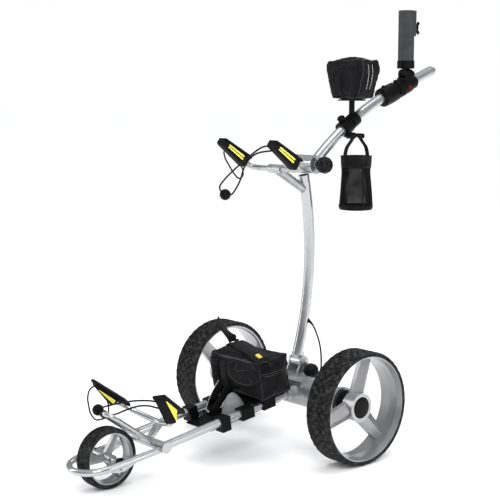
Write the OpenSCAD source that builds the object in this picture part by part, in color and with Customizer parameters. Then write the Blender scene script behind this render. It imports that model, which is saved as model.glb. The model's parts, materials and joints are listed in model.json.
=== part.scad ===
// Electric golf trolley: three-wheeled powered bag cart with a folding upright,
// a folding rear handle, two padded bag cradles and a battery carried between the rails.
// +Z is up, -Y is forward (front wheel), +X is the trolley's left side.

/* [Rear wheels] */
// Outer radius of a rear tyre
rear_r = 150; // [145:1:155]
// Width of a rear tyre
rear_tyre_w = 78; // [70:1:80]
// Overall width over the rear tyres
overall_w = 619; // [612:1:630]
// Angle of the left wheel's first spoke, from straight up towards the handle
spoke_turn_left = 16; // [0:1:60]
// Angle of the right wheel's first spoke, from straight up towards the handle
spoke_turn_right = 43; // [0:1:60]

/* [Front wheel] */
// Outer radius of the front tyre
front_r = 76; // [74:1:78]
// Width of the front tyre
front_tyre_w = 44; // [36:1:46]
// Distance from the rear axle to the front axle
wheelbase = 603; // [600:1:606]

/* [Frame] */
// Half the distance between the two side rails
rail_x = 68; // [66:1:70]
// Radius of a side rail tube
rail_r = 11; // [10:0.5:11.5]
// Radius of the front loop tube
loop_r = 8.75; // [8:0.25:9]
// Wall thickness of the frame tubes
tube_wall = 2; // [1.5:0.25:2.5]

/* [Upright and handle] */
// Radius of the upright tube
upright_r = 15; // [14:0.5:15.5]
// Radius of the handle tube
handle_r = 14.5; // [13.5:0.5:15]
// Length of the straight upper part of the handle
handle_straight = 172; // [168:1:176]

/* [Accessories] */
// Inner radius of the umbrella holder tube
umbrella_bore_r = 20; // [18:0.5:20.5]
// Height of the umbrella holder tube
umbrella_h = 158; // [150:1:160]
// Radius of the mesh cup holder at its rim
cup_r = 42; // [40:1:43]
// Depth of the mesh cup holder
cup_depth = 148; // [140:1:150]
// Outward splay of the left lower pad
left_pad_splay = 20; // [16:1:22]

/* [Hidden] */
$fn = 48;

// The rear axle stands behind the middle of the footprint
axle_y = 76;
silver = [0.76, 0.77, 0.78];
dark = [0.10, 0.10, 0.11];
black = [0.04, 0.04, 0.045];
yellow = [0.93, 0.90, 0.25];
steel = [0.62, 0.63, 0.65];
grey = [0.42, 0.43, 0.45];
gap = 0.3;

// Rear wheels
wheel_x = overall_w/2 - rear_tyre_w/2;
rim_r = rear_r - 12;
rim_w = rear_tyre_w - 4;
rim_wall = 5;
hub_r = 38;
shaft_r = 8;
shaft_fit = 0.05;
hub_out = 17;
hub_in = -18;

// Front wheel
front_rim_r = front_r - 11.5;
front_axle_r = 5;
front_hub_half = 27;

// Side rails slope down towards the front
rail_slope = 8.38;
rail_z = 164;
rail_front = -484;
crossbar_y = -478;
crossbar_z = 92;
crossbar_r = 13;
crossbar_half = 76;

// Front loop
loop_slope = 6.28;
loop_z = 139;
loop_half = 63;
loop_centre = -640;

// Lower bag support
hoop_tilt = 36.3;
hoop_half = 24;
hoop_leg = 134;
hoop_r = 6.5;
cradle_r = 7.5;
low_tilt = 38;
low_origin = [0, -440, 134];
low_bar_radius = 113;
low_bar_angle = 57;
low_pad_tilt = 35;
low_pad_len = 122;
low_pad_w = 26;
low_strip_w = 32;
left_pad_base = [99, -452, 185];
left_pad_roll = 27;
left_pad_depth = 48;
right_pad_base = [-95, -466, 173];
right_pad_roll = 16;
right_pad_depth = 30;

// Drive housing, coaxial with the rear axle
housing_r = 38;
housing_half = 222;
bearing_r = shaft_r + shaft_fit;
pivot = [48, 218];
lock = [52, 197];
ear_gap = 19;
ear_t = 5;
pivot_r = 5;

// Upright: one long curve from the pivot to the barrel
upright_start = [42, 236];
upright_lean = 17.8;
upright_radius = 954;
upright_angle = 30.6;
barrel = [56, 770];
barrel_r = 25;
barrel_left = 29;
barrel_right = -50;

// Upper bag support
up_origin = [0, -40, 760];
up_tilt = 33.8;
up_arm_r = 7.5;
up_arm_half = 100;
up_bend = 24;
up_pad_len = 110;
up_pad_w = 26;

// Handle
handle_x = 44.4;
handle_lean = 47;
handle_radius = 960;
handle_bend = 23;
handle_arc = handle_bend*PI/180*handle_radius;

// Accessories on the handle
tilt_axis = [430, 1018];
umbrella_wall = 3;
umbrella_base = 1036;
cup_c = [90, 178];
cup_rod_z = 846;
cup_rim_z = 790;
card_x = [-30, 120];
card_y = [168, 243];
card_z = [945, 1055];

// Cord routes, chosen by hand
bungee_d = 4.6;
catch_d = 4.2;
cable_d = 5;
lower_route = [[114, -522, 221], [102, -530, 224], [80, -537, 223], [40, -547, 216], [4, -556, 206],
    [-24, -570, 197], [-50, -589, 184], [-34, -572, 170], [-16, -562, 174], [4, -555, 184],
    [24, -545, 194], [48, -536, 203], [76, -530, 208], [98, -524, 207], [114, -516, 205]];
lower_catch_route = [[-96, -560, 230], [-92, -578, 231], [-88, -592, 224], [-80, -602, 208], [-71, -605, 190],
    [-64, -605, 174], [-51, -600, 160], [-42, -588, 160], [-44, -572, 163], [-56, -557, 171],
    [-68, -548, 182], [-86, -540, 190]];
upper_route = [[97, -146, 828], [78, -160, 824], [54, -170, 808], [22, -178, 784], [-12, -184, 759],
    [-42, -188, 734], [-60, -188, 714], [-62, -173, 696], [-46, -160, 694], [-22, -160, 716],
    [-2, -163, 741], [12, -168, 762], [34, -170, 788], [62, -163, 808], [96, -143, 815]];
upper_catch_route = [[-97, -142, 806], [-86, -146, 788], [-70, -148, 773], [-48, -150, 752], [-28, -149, 738],
    [-22, -140, 744], [-30, -132, 756], [-50, -118, 764], [-72, -104, 768], [-88, -94, 770]];
cable_route = [[12, 72, 333], [26, 76, 322], [40, 77, 302], [54, 75, 278], [66, 70, 254],
    [74, 64, 230], [79, 58, 208], [80, 48, 192], [78, 38, 182]];

// ---- small helpers ----

// Everything is drawn from the rear axle's foot and moved to the part's own origin
module place() {
    translate([0, axle_y, 0]) children();
}

// Cylinder along X from a to b at height z and depth y
module bar_x(a, b, r, y, z) {
    translate([a, y, z]) rotate([0, 90, 0]) cylinder(h = b - a, r = r);
}

// Round bar from point p to point q
module rod(p, q, r) {
    d = q - p;
    len = norm(d);
    translate(p) rotate([0, acos(d[2]/len), atan2(d[1], d[0])]) cylinder(h = len, r = r);
}

// A bend that starts at the origin heading +Z and turns towards +Y
module bend(radius, angle, r) {
    rotate([90, 0, -90]) translate([-radius, 0, 0]) rotate_extrude(angle = angle, $fn = 180)
        translate([radius, 0]) circle(r = r, $fn = 40);
}

// Moves children to the far end of a bend
module after_bend(radius, angle) {
    translate([0, radius*(1 - cos(angle)), radius*sin(angle)]) rotate([-angle, 0, 0]) children();
}

module both_sides() {
    children();
    mirror([1, 0, 0]) children();
}

// Outline in the Y-Z plane, extruded along X from a to b
module plate_yz(a, b) {
    translate([a, 0, 0]) rotate([90, 0, 90]) linear_extrude(height = b - a) children();
}

module rail_frame() {
    translate([0, 0, rail_z]) rotate([rail_slope, 0, 0]) children();
}

module loop_frame() {
    translate([0, 0, loop_z]) rotate([loop_slope, 0, 0]) children();
}

module hoop_frame() {
    translate([0, crossbar_y, crossbar_z]) rotate([-hoop_tilt, 0, 0]) children();
}

module lower_frame() {
    translate(low_origin) rotate([-low_tilt, 0, 0]) children();
}

module upper_frame() {
    translate(up_origin) rotate([-up_tilt, 0, 0]) children();
}

// A point on the handle's centre line, s millimetres from the barrel, heading +Z
module on_handle(s) {
    turn = min(s/handle_radius*180/PI, handle_bend);
    rest = s - turn*PI/180*handle_radius;
    translate([handle_x, barrel[0], barrel[1]]) rotate([-handle_lean, 0, 0])
        after_bend(handle_radius, turn) translate([0, 0, rest]) children();
}

// ---- swept cords ----

function blend_point(a, b, c, d, t) =
    0.5*((2*b) + (c - a)*t + (2*a - 5*b + 4*c - d)*t*t + (3*b - a - 3*c + d)*t*t*t);
function smooth_route(p, n) = [
    for (i = [0:len(p) - 2]) for (k = [0:n - 1])
        blend_point(p[max(i - 1, 0)], p[i], p[i + 1], p[min(i + 2, len(p) - 1)], k/n),
    p[len(p) - 1]
];
function unit(v) = v/norm(v);
function heading(p, i) = unit(p[min(i + 1, len(p) - 1)] - p[max(i - 1, 0)]);
function ring(c, t, side, r, sides) = [
    for (k = [0:sides - 1]) c + r*(cos(360*k/sides)*side + sin(360*k/sides)*cross(t, side))
];

// Tube of the given diameter along a route; ref is a direction that the route never follows
module cord(route, d, n, ref, sides) {
    p = smooth_route(route, n);
    last = len(p) - 1;
    rings = [for (i = [0:last]) let (t = heading(p, i)) each ring(p[i], t, unit(cross(ref, t)), d/2, sides)];
    walls = [for (i = [0:last - 1]) for (k = [0:sides - 1]) let (j = (k + 1) % sides)
        [i*sides + k, i*sides + j, (i + 1)*sides + j, (i + 1)*sides + k]];
    start = [[for (k = [0:sides - 1]) sides - 1 - k]];
    end = [[for (k = [0:sides - 1]) last*sides + k]];
    polyhedron(points = rings, faces = concat(start, walls, end), convexity = 8);
}

// ---- chassis ----

module rail_shape(r) {
    rail_frame() both_sides() translate([rail_x, rail_front, 0]) rotate([-90, 0, 0])
        cylinder(h = -rail_front - 36, r = r);
}

module crossbar_bar(r) {
    bar_x(-crossbar_half, crossbar_half, r, crossbar_y, crossbar_z);
}

module side_rails() {
    color(silver) place() difference() {
        rail_shape(rail_r);
        rail_frame() both_sides() translate([rail_x, rail_front - 1, 0]) rotate([-90, 0, 0])
            cylinder(h = -rail_front - 20, r = rail_r - tube_wall);
        crossbar_bar(crossbar_r);
        crossbar_caps();
    }
}

module crossbar_caps() {
    both_sides() bar_x(crossbar_half, crossbar_half + 5, crossbar_r + 1.5, crossbar_y, crossbar_z);
}

module front_crossbar() {
    color(silver) place() {
        crossbar_bar(crossbar_r);
        crossbar_caps();
    }
}

module loop_shape(r) {
    loop_frame() {
        both_sides() translate([loop_half, loop_centre, 0]) rotate([-90, 0, 0]) cylinder(h = 165, r = r);
        translate([0, loop_centre, 0]) rotate([0, 0, 180]) rotate_extrude(angle = 180, $fn = 120)
            translate([loop_half, 0]) circle(r = r, $fn = 40);
    }
}

module dropout_outline() {
    polygon([[-648, 66], [-628, 55], [-603, 50], [-580, 54], [-522, 77], [-520, 82], [-560, 84], [-603, 84], [-640, 74]]);
}

module front_loop() {
    color(silver) place() difference() {
        union() {
            loop_shape(loop_r);
            both_sides() plate_yz(loop_half - 12, loop_half - 7) dropout_outline();
            both_sides() bar_x(loop_half - 9, loop_half + 2, 6, -597, 60);
        }
        crossbar_bar(crossbar_r);
        bar_x(-loop_half + 6, loop_half - 6, front_axle_r + shaft_fit, -wheelbase, front_r);
    }
}

module front_axle() {
    color(steel) place() {
        bar_x(-loop_half + 10, loop_half - 10, front_axle_r, -wheelbase, front_r);
        both_sides() difference() {
            bar_x(front_hub_half + gap, loop_half - 12, 9, -wheelbase, front_r);
            bar_x(0, loop_half, front_axle_r, -wheelbase, front_r);
        }
    }
}

module hoop_bend(r, span) {
    translate([0, -hoop_leg, 0]) rotate([0, 0, 270 - span]) rotate_extrude(angle = 2*span, $fn = 90)
        translate([hoop_half, 0]) circle(r = r, $fn = 32);
}

module base_rest_hoop() {
    color(silver) place() difference() {
        hoop_frame() {
            both_sides() translate([hoop_half, -hoop_leg, 0]) rotate([-90, 0, 0]) cylinder(h = hoop_leg, r = hoop_r);
            hoop_bend(hoop_r, 90);
        }
        crossbar_bar(crossbar_r);
    }
}

module base_rest_buffer() {
    color(black) place() hoop_frame() difference() {
        translate([0, -hoop_leg, 0]) rotate([0, 0, 188]) rotate_extrude(angle = 72, $fn = 90)
            translate([hoop_half, 0]) circle(r = hoop_r + 2.5, $fn = 32);
        hoop_bend(hoop_r, 90);
    }
}

module low_bar(r) {
    lower_frame() translate([0, -low_bar_radius, 0]) rotate([0, 0, 90 - low_bar_angle])
        rotate_extrude(angle = 2*low_bar_angle, $fn = 120) translate([low_bar_radius, 0]) circle(r = r, $fn = 40);
}

// Each end of the curved bar turns forward inside the wedge of its pad
module low_pad_core(side, tip) {
    lower_frame() translate([side*low_bar_radius*sin(low_bar_angle), -low_bar_radius*(1 - cos(low_bar_angle)), 0])
        sphere(r = cradle_r + 0.8);
    rod([side*95, -480.6, 165.7], tip, cradle_r - 0.5);
}

module low_cores() {
    low_pad_core(1, [122, -492, 191]);
    low_pad_core(-1, [-100, -511, 181]);
}

module lower_cradle() {
    color(silver) place() {
        low_bar(cradle_r);
        low_cores();
        difference() {
            plate_yz(-9, 9) polygon([[-484, 92], [-474, 88], [-433, 129], [-441, 139]]);
            crossbar_bar(crossbar_r);
        }
    }
}

// Pad frame: origin at the lower end of the pad's face, local -Y runs up the pad, local +Z out of its face
module left_pad_frame() {
    translate(left_pad_base) rotate([-low_pad_tilt, 0, left_pad_splay]) rotate([0, -left_pad_roll, 0]) children();
}

module right_pad_frame() {
    translate(right_pad_base) mirror([1, 0, 0]) rotate([-low_pad_tilt, 0, 0]) rotate([0, -right_pad_roll, 0]) children();
}

module low_pad_block(depth) {
    translate([-low_strip_w/2, 0, 0]) plate_yz(0, low_strip_w)
        polygon([[0, -3], [-4, 0], [-low_pad_len, 0], [-low_pad_len - 5, -3], [-low_pad_len - 5, -8],
            [-low_pad_len, -10], [0, -9]]);
    translate([-low_pad_w/2, 0, 0]) plate_yz(0, low_pad_w)
        polygon([[-36, -9], [-low_pad_len + 2, -9], [-low_pad_len + 3, -13], [-54, -depth], [-46, -depth], [-38, -depth*0.6]]);
}

module lower_pads() {
    color(black) place() difference() {
        union() {
            left_pad_frame() low_pad_block(left_pad_depth);
            right_pad_frame() low_pad_block(right_pad_depth);
        }
        low_cores();
    }
}

module insert_outline(len, wide) {
    polygon([[0, 0], [-len, 2.5], [-len, 5], [0, wide]]);
}

module low_insert(depth) {
    for (x = [-low_pad_w/2 - 1.3, low_pad_w/2 + 0.1]) translate([x, 0, 0]) plate_yz(0, 1.2)
        polygon([[-46, -depth + 5], [-46, -14], [-106, -12.5], [-110, -14]]);
}

module lower_pad_inserts() {
    color(yellow) place() {
        left_pad_frame() low_insert(left_pad_depth);
        right_pad_frame() low_insert(right_pad_depth);
    }
}

module lower_bungee() {
    color(black) place() cord(lower_route, bungee_d, 2, [0, 0.3, 1], 8);
}

module lower_catch_loop() {
    color(black) place() cord(lower_catch_route, catch_d, 1, [1, 0, 0.2], 8);
}

module lower_bungee_ball() {
    color(black) place() translate([-50, -592, 183]) sphere(r = 14.5);
}

// ---- battery and tray ----

module battery_tray() {
    color(black) place() rail_frame() {
        translate([-83, -186, 13]) cube([166, 116, 4]);
        translate([-52, -320, -22]) cube([104, 250, 3]);
        translate([-50, -186, -19]) cube([100, 4, 32]);
        translate([-50, -74, -19]) cube([100, 4, 32]);
    }
}

module rail_clip(y, w, bottom) {
    difference() {
        translate([rail_x - 15, y, bottom]) cube([30, w, 12.8 - bottom]);
        translate([rail_x, y - 1, 0]) rotate([-90, 0, 0]) cylinder(h = w + 2, r = rail_r);
    }
}

module rail_clips() {
    color(black) place() rail_frame() both_sides() {
        rail_clip(-234, 41, -17);
        rail_clip(-159, 42, -12.8);
        rail_clip(-304, 28, -25);
        translate([50, -304, -19]) cube([4, 28, 16]);
    }
}

// Pointed guard in front of the battery, cut off flat where the tray starts
module tray_guard() {
    color(grey) place() rail_frame() difference() {
        translate([19, -210, -19]) rotate_extrude($fn = 96) polygon([
            [0, 61], [5, 60], [13, 54], [24, 38], [31, 20], [34, 4], [34, 0],
            [31, 0], [31, 4], [28, 19], [21.5, 36], [11, 51], [4, 57], [0, 58]]);
        translate([-60, -186.5, -30]) cube([130, 80, 120]);
    }
}

module bag_box(grow) {
    translate([-104 - grow, -178 - grow, 17.2 - grow]) cube([208 + 2*grow, 110 + 2*grow, 114 + 2*grow]);
}

module battery() {
    color(dark) place() rail_frame() {
        translate([-96, -170, 24]) cube([192, 94, 98]);
        for (x = [-70, 70]) translate([x, -123, 122]) cylinder(h = 5, r = 6);
    }
}

module battery_bag() {
    color(black) place() rail_frame() difference() {
        bag_box(0);
        translate([-98, -172, 22]) cube([196, 98, 106]);
    }
}

module hang_loop_outline(r) {
    for (v = [-27, 27]) translate([0, v]) circle(r = r);
    translate([-r, -27]) square([2*r, 54]);
}

module bag_straps() {
    color(dark) place() rail_frame() {
        difference() {
            translate([0, -124, 0]) rotate([0, 0, -16]) translate([-114, -22, 20]) cube([228, 44, 113.6]);
            bag_box(0.2);
            both_sides() translate([106.4, -250, 0]) cube([60, 260, 160]);
            translate([-120, -70.3, 0]) cube([240, 60, 160]);
            translate([-120, -236, 0]) cube([240, 60, 160]);
        }
        translate([-100, -92, 133.7]) rotate([40, 0, 0]) translate([0, -2.4, 0]) cube([30, 2.4, 84]);
        difference() {
            translate([-37, -208, 20.5]) rotate([48, 0, 0]) translate([0, 0, -11]) linear_extrude(height = 22) difference() {
                hang_loop_outline(15);
                hang_loop_outline(12.5);
            }
            bag_box(0.2);
        }
    }
}

// ---- drive ----

module axle_housing() {
    color(silver) place() difference() {
        union() {
            bar_x(-housing_half, housing_half, housing_r, 0, rear_r);
            both_sides() bar_x(housing_half - 8, housing_half, housing_r + 4, 0, rear_r);
            plate_yz(-92, 92) polygon([[-36, 150], [-30, 186], [-22, 191], [22, 190], [27, 182], [34, 150]]);
            plate_yz(-24, 24) polygon([[-20, 150], [-20, 190], [78, 190], [78, 184], [34, 150]]);
            both_sides() rail_frame() translate([rail_x, -66, 0]) rotate([-90, 0, 0]) cylinder(h = 40, r = rail_r + 4);
            rod([78, 18, 163], [78, 37.5, 181.5], 6);
        }
        bar_x(-housing_half + 9, housing_half - 9, housing_r - 4, 0, rear_r);
        bar_x(-housing_half - 1, housing_half + 1, bearing_r, 0, rear_r);
        rail_shape(rail_r);
    }
}

module drive_motors() {
    color(steel) place() both_sides() difference() {
        union() {
            bar_x(30, 150, housing_r - 6, 0, rear_r);
            bar_x(150, 196, housing_r - 8, 0, rear_r);
        }
        bar_x(180, 240, bearing_r, 0, rear_r);
    }
}

module controller() {
    color([0.1, 0.35, 0.2]) place() translate([-24, -22, rear_r - 18]) {
        cube([48, 44, 3]);
        for (x = [6, 26]) translate([x, 10, 3]) cube([14, 22, 12]);
    }
}

module ear_outline() {
    difference() {
        polygon([[20, 190], [76, 190], [66, 212], [62, 228], [54, 234], [42, 234], [34, 228], [30, 210]]);
        translate(pivot) circle(r = pivot_r);
        translate(lock) circle(r = pivot_r);
    }
}

module hinge_bracket() {
    color(silver) place() both_sides() plate_yz(ear_gap, ear_gap + ear_t) ear_outline();
}

module pivot_bolts() {
    color(steel) place() {
        bar_x(-ear_gap - 11, ear_gap + 11, pivot_r, pivot[0], pivot[1]);
        both_sides() difference() {
            bar_x(ear_gap + ear_t, ear_gap + ear_t + 6, 7.5, pivot[0], pivot[1]);
            bar_x(0, 60, pivot_r, pivot[0], pivot[1]);
        }
    }
}

// Ball knob with a stem, standing along +X from the origin
module ball_knob(r, stem) {
    difference() {
        translate([stem + r*0.82, 0, 0]) sphere(r = r, $fn = 64);
        translate([stem + r*1.62, -r, -r]) cube([r, 2*r, 2*r]);
    }
    rotate([0, 90, 0]) cylinder(h = stem + 6, r = 9);
}

module lower_knob() {
    color(black) place() translate([ear_gap + ear_t + gap, lock[0], lock[1]]) {
        ball_knob(21, 6);
        translate([-46, 0, 0]) rotate([0, 90, 0]) cylinder(h = 52, r = pivot_r - shaft_fit);
    }
}

// ---- wheels ----

module wheel_side(side) {
    place() translate([side*wheel_x, 0, rear_r]) mirror([side < 0 ? 1 : 0, 0, 0]) rotate([0, 90, 0]) children();
}

module rear_tyre(side) {
    color(dark) wheel_side(side) rotate_extrude($fn = 120) polygon([
        [rim_r, -rear_tyre_w/2], [rear_r - 6, -rear_tyre_w/2], [rear_r - 1.5, -rear_tyre_w/2 + 4],
        [rear_r, -rear_tyre_w/2 + 10], [rear_r, rear_tyre_w/2 - 10], [rear_r - 1.5, rear_tyre_w/2 - 4],
        [rear_r - 6, rear_tyre_w/2], [rim_r, rear_tyre_w/2]]);
}

// One ridged spoke along local +X, its ridge facing +Z (outboard)
module rear_spoke() {
    intersection() {
        translate([24, 0, 0]) rotate([90, 0, 90]) linear_extrude(height = rim_r - 27)
            polygon([[-24, -16.3], [24, -16.3], [24, -5], [0, 11], [-24, -5]]);
        translate([0, 0, -30]) linear_extrude(height = 60)
            polygon([[20, -24], [rim_r - 2, -17], [rim_r - 2, 17], [20, 24]]);
    }
}

module rear_rim(side, turn) {
    color(silver) wheel_side(side) difference() {
        union() {
            rotate_extrude($fn = 120) polygon([
                [rim_r - rim_wall, -rim_w/2], [rim_r, -rim_w/2], [rim_r, rim_w/2], [rim_r - rim_wall + 2, rim_w/2],
                [rim_r - rim_wall - 3, rim_w/2 - 14], [rim_r - rim_wall - 5, 0], [rim_r - rim_wall - 3, -rim_w/2 + 6]]);
            translate([0, 0, hub_in]) cylinder(h = hub_out - hub_in, r = hub_r);
            for (k = [0:2]) rotate([0, 0, 180 - side*turn + 120*k]) rear_spoke();
        }
        translate([0, 0, hub_in - 1]) cylinder(h = 60, r = shaft_r);
        translate([0, 0, hub_out - 6]) cylinder(h = 10, r = 28.5);
    }
}

module hub_cap(side) {
    color(black) wheel_side(side) difference() {
        translate([0, 0, hub_out - 6]) rotate_extrude() polygon([[0, 0], [28.5, 0], [28.5, 6], [25, 9], [12, 10.5], [0, 11]]);
        translate([0, 0, hub_out - 7]) cylinder(h = 5, r = shaft_r);
    }
}

module wheel_shaft(side) {
    color(steel) place() mirror([side < 0 ? 1 : 0, 0, 0]) {
        bar_x(182, wheel_x + hub_out - 4, shaft_r, 0, rear_r);
        difference() {
            bar_x(housing_half + 4, wheel_x + hub_in, 27, 0, rear_r);
            bar_x(200, 300, shaft_r, 0, rear_r);
        }
    }
}

module tyre_left() { rear_tyre(1); }
module rim_left() { rear_rim(1, spoke_turn_left); }
module hub_cap_left() { hub_cap(1); }
module wheel_shaft_left() { wheel_shaft(1); }
module tyre_right() { rear_tyre(-1); }
module rim_right() { rear_rim(-1, spoke_turn_right); }
module hub_cap_right() { hub_cap(-1); }
module wheel_shaft_right() { wheel_shaft(-1); }

module front_hub_frame() {
    place() translate([0, -wheelbase, front_r]) rotate([0, 90, 0]) children();
}

module front_tyre() {
    h = front_tyre_w/2;
    color(dark) front_hub_frame() rotate_extrude($fn = 96) polygon([
        [front_rim_r, -h], [front_r - 6, -h], [front_r - 1.5, -h + 4], [front_r, -h + 9],
        [front_r, h - 9], [front_r - 1.5, h - 4], [front_r - 6, h], [front_rim_r, h]]);
}

// One thin ridged spoke of the front wheel along local +X
module front_spoke() {
    intersection() {
        translate([9, 0, 0]) rotate([90, 0, 90]) linear_extrude(height = front_rim_r - 12)
            polygon([[-10, -8], [-3, -12], [3, -12], [10, -8], [10, 1], [2, 12], [-2, 12], [-10, 1]]);
        translate([0, 0, -30]) linear_extrude(height = 60)
            polygon([[8, -10], [front_rim_r - 1, -6], [front_rim_r - 1, 6], [8, 10]]);
    }
}

module front_rim() {
    h = front_tyre_w/2 - 2;
    color(silver) front_hub_frame() difference() {
        union() {
            rotate_extrude($fn = 96) polygon([
                [front_rim_r - 3, -h], [front_rim_r, -h], [front_rim_r, h], [front_rim_r - 3, h],
                [front_rim_r - 5, h - 6], [front_rim_r - 5, -h + 6]]);
            translate([0, 0, -front_hub_half]) cylinder(h = 2*front_hub_half, r = 12);
            for (k = [0:2]) rotate([0, 0, 152 + 120*k]) front_spoke();
        }
        translate([0, 0, -front_hub_half - 1]) cylinder(h = 2*front_hub_half + 2, r = front_axle_r + shaft_fit);
    }
}

// ---- upright ----

module upright_shape(r) {
    translate([0, upright_start[0], upright_start[1]]) rotate([-upright_lean, 0, 0]) mirror([0, 1, 0])
        bend(upright_radius, upright_angle, r);
}

module upright_tube() {
    color(silver) place() difference() {
        union() {
            upright_shape(upright_r);
            bar_x(-ear_gap + 0.5, ear_gap - 0.5, 15, pivot[0], pivot[1]);
            plate_yz(-13, 13) polygon([[37, 209], [59, 209], [62, 218], [57, 244], [34, 244]]);
        }
        difference() {
            upright_shape(upright_r - tube_wall);
            translate([-20, 0, 200]) cube([40, 90, 48]);
        }
        bar_x(-40, 40, pivot_r + shaft_fit, pivot[0], pivot[1]);
        bar_x(-60, 60, barrel_r, barrel[0], barrel[1]);
        translate([-30, 20, 170]) cube([60, 60, 33]);
    }
}

module hinge_barrel() {
    color(silver) place() difference() {
        bar_x(barrel_right, barrel_left, barrel_r, barrel[0], barrel[1]);
        translate([-14, 0, 0]) difference() {
            bar_x(0, 2, barrel_r + 2, barrel[0], barrel[1]);
            bar_x(-1, 3, barrel_r - 0.8, barrel[0], barrel[1]);
        }
        bar_x(barrel_left - 40, barrel_left + 2, 8 + shaft_fit, barrel[0], barrel[1]);
    }
}

module upper_cradle() {
    color(silver) place() difference() {
        union() {
            upper_frame() {
                both_sides() upper_arm_side();
                rotate([0, 90, 0]) translate([0, 0, -24]) cylinder(h = 48, r = 12);
            }
            rod([0, -44, 762], [0, 64, 700], 12);
        }
        upright_shape(upright_r);
    }
}

// Arm along +X, bending forward and up into the pad
module upper_arm_side() {
    rotate([0, 90, 0]) cylinder(h = up_arm_half - up_bend, r = up_arm_r);
    translate([up_arm_half - up_bend, -up_bend, 0]) rotate_extrude(angle = 90, $fn = 72)
        translate([up_bend, 0]) circle(r = up_arm_r, $fn = 40);
    translate([up_arm_half, -up_bend, 0]) rotate([90, 0, 0]) cylinder(h = 60, r = up_arm_r);
}

module up_pad_block() {
    difference() {
        translate([-up_pad_w/2, 0, 0]) plate_yz(0, up_pad_w)
            polygon([[-2, 14], [-8, 17], [-up_pad_len + 6, 9], [-up_pad_len, 5],
                [-up_pad_len, -6], [-up_pad_len + 5, -9], [-8, -17], [-2, -14]]);
        translate([0, 1, 0]) rotate([90, 0, 0]) cylinder(h = 62, r = up_arm_r);
    }
}

module up_pad_frame() {
    translate([up_arm_half, -up_bend, 0]) children();
}

module upper_pads() {
    color(black) place() upper_frame() both_sides() up_pad_frame() up_pad_block();
}

module upper_pad_inserts() {
    color(yellow) place() upper_frame() both_sides() up_pad_frame()
        for (side = [-1, 1]) translate([side*(up_pad_w/2 + 0.6) - 0.6, -22, -7]) plate_yz(0, 1.2) insert_outline(66, 13);
}

module upper_bungee() {
    color(black) place() cord(upper_route, bungee_d, 2, [0.2, 1, 0], 8);
}

module upper_catch_loop() {
    color(black) place() cord(upper_catch_route, catch_d, 1, [0.2, 1, 0], 8);
}

module upper_bungee_ball() {
    color(black) place() translate([-56, -172, 694]) sphere(r = 15);
}

module motor_cable() {
    color(black) place() cord(cable_route, cable_d, 2, [0.3, 1, 0], 8);
}

module cable_grommet() {
    color(black) place() rod([7, 70.5, 336.5], [16, 73, 331], 5);
}

module upper_knob() {
    color(black) place() translate([59 + gap, barrel[0], barrel[1]]) {
        ball_knob(23, 10);
        translate([-50, 0, 0]) rotate([0, 90, 0]) cylinder(h = 56, r = 8);
    }
}

// ---- handle ----

module handle_shape(r, extra) {
    translate([handle_x, barrel[0], barrel[1]]) rotate([-handle_lean, 0, 0]) {
        bend(handle_radius, handle_bend, r);
        after_bend(handle_radius, handle_bend) cylinder(h = handle_straight + extra, r = r);
    }
}

module handle_tube() {
    color(silver) place() difference() {
        union() {
            handle_shape(handle_r, 0);
            bar_x(barrel_left + gap, 59, barrel_r, barrel[0], barrel[1]);
        }
        difference() {
            handle_shape(handle_r - tube_wall, 0);
            bar_x(0, 80, barrel_r + 4, barrel[0], barrel[1]);
        }
        bar_x(0, 80, 8 + shaft_fit, barrel[0], barrel[1]);
    }
}

module handle_end_cap() {
    color(silver) place() on_handle(handle_arc + handle_straight) {
        rotate_extrude() intersection() {
            translate([0, -2]) circle(r = handle_r);
            square([handle_r, handle_r]);
        }
    }
}

module housing_shape() {
    on_handle(handle_arc - 62) rotate([-4, 0, 0]) rotate_extrude() polygon([
        [0, 0], [22, 0], [27, 5], [28, 30], [27, 60], [23, 66], [23, 70], [25, 76], [25, 92],
        [22, 96], [22, 100], [24, 106], [23, 124], [20, 128], [20, 146], [16, 152], [0, 152]]);
}

module control_housing() {
    color(black) place() difference() {
        union() {
            housing_shape();
            for (k = [0:2]) on_handle(handle_arc - 40 + 26*k) translate([0, -24 + 1.5*k, 0]) sphere(r = 7, $fn = 32);
        }
        handle_shape(handle_r, 0);
        bar_x(handle_x - 12, handle_x + 12, 13, tilt_axis[0], tilt_axis[1]);
        dial_seat() cylinder(h = 12, r = 12);
        button_seat() cylinder(h = 12, r = 6);
    }
}

module dial_seat() {
    on_handle(handle_arc + 6) translate([20, 4, 0]) rotate([0, 90, 0]) children();
}

module button_seat() {
    on_handle(handle_arc + 40) translate([17, 5, 0]) rotate([0, 90, 0]) children();
}

module speed_dial() {
    color(dark) place() dial_seat() translate([0, 0, gap]) difference() {
        cylinder(h = 10, r = 11.5);
        for (k = [0:11]) rotate([0, 0, 30*k]) translate([12.6, 0, 3]) cylinder(h = 10, r = 1.6, $fn = 16);
    }
}

module power_button() {
    color([0.5, 0.08, 0.06]) place() button_seat() translate([0, 0, 4]) cylinder(h = 6, r = 5.5);
}

module umbrella_clamp() {
    color(black) place() difference() {
        union() {
            translate([27, tilt_axis[0] - 18, tilt_axis[1] - 34]) cube([36, 36, 22]);
            for (x = [27, 55]) bar_x(x, x + 8, 13, tilt_axis[0], tilt_axis[1]);
            for (x = [27, 55]) translate([x, tilt_axis[0] - 13, tilt_axis[1] - 14]) cube([8, 26, 14]);
            translate([handle_x, tilt_axis[0] + 14, tilt_axis[1] - 20]) rotate([-90, 0, 0]) cylinder(h = 12, r = 7);
        }
        housing_shape();
        bar_x(20, 70, 4 + shaft_fit, tilt_axis[0], tilt_axis[1]);
    }
}

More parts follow.
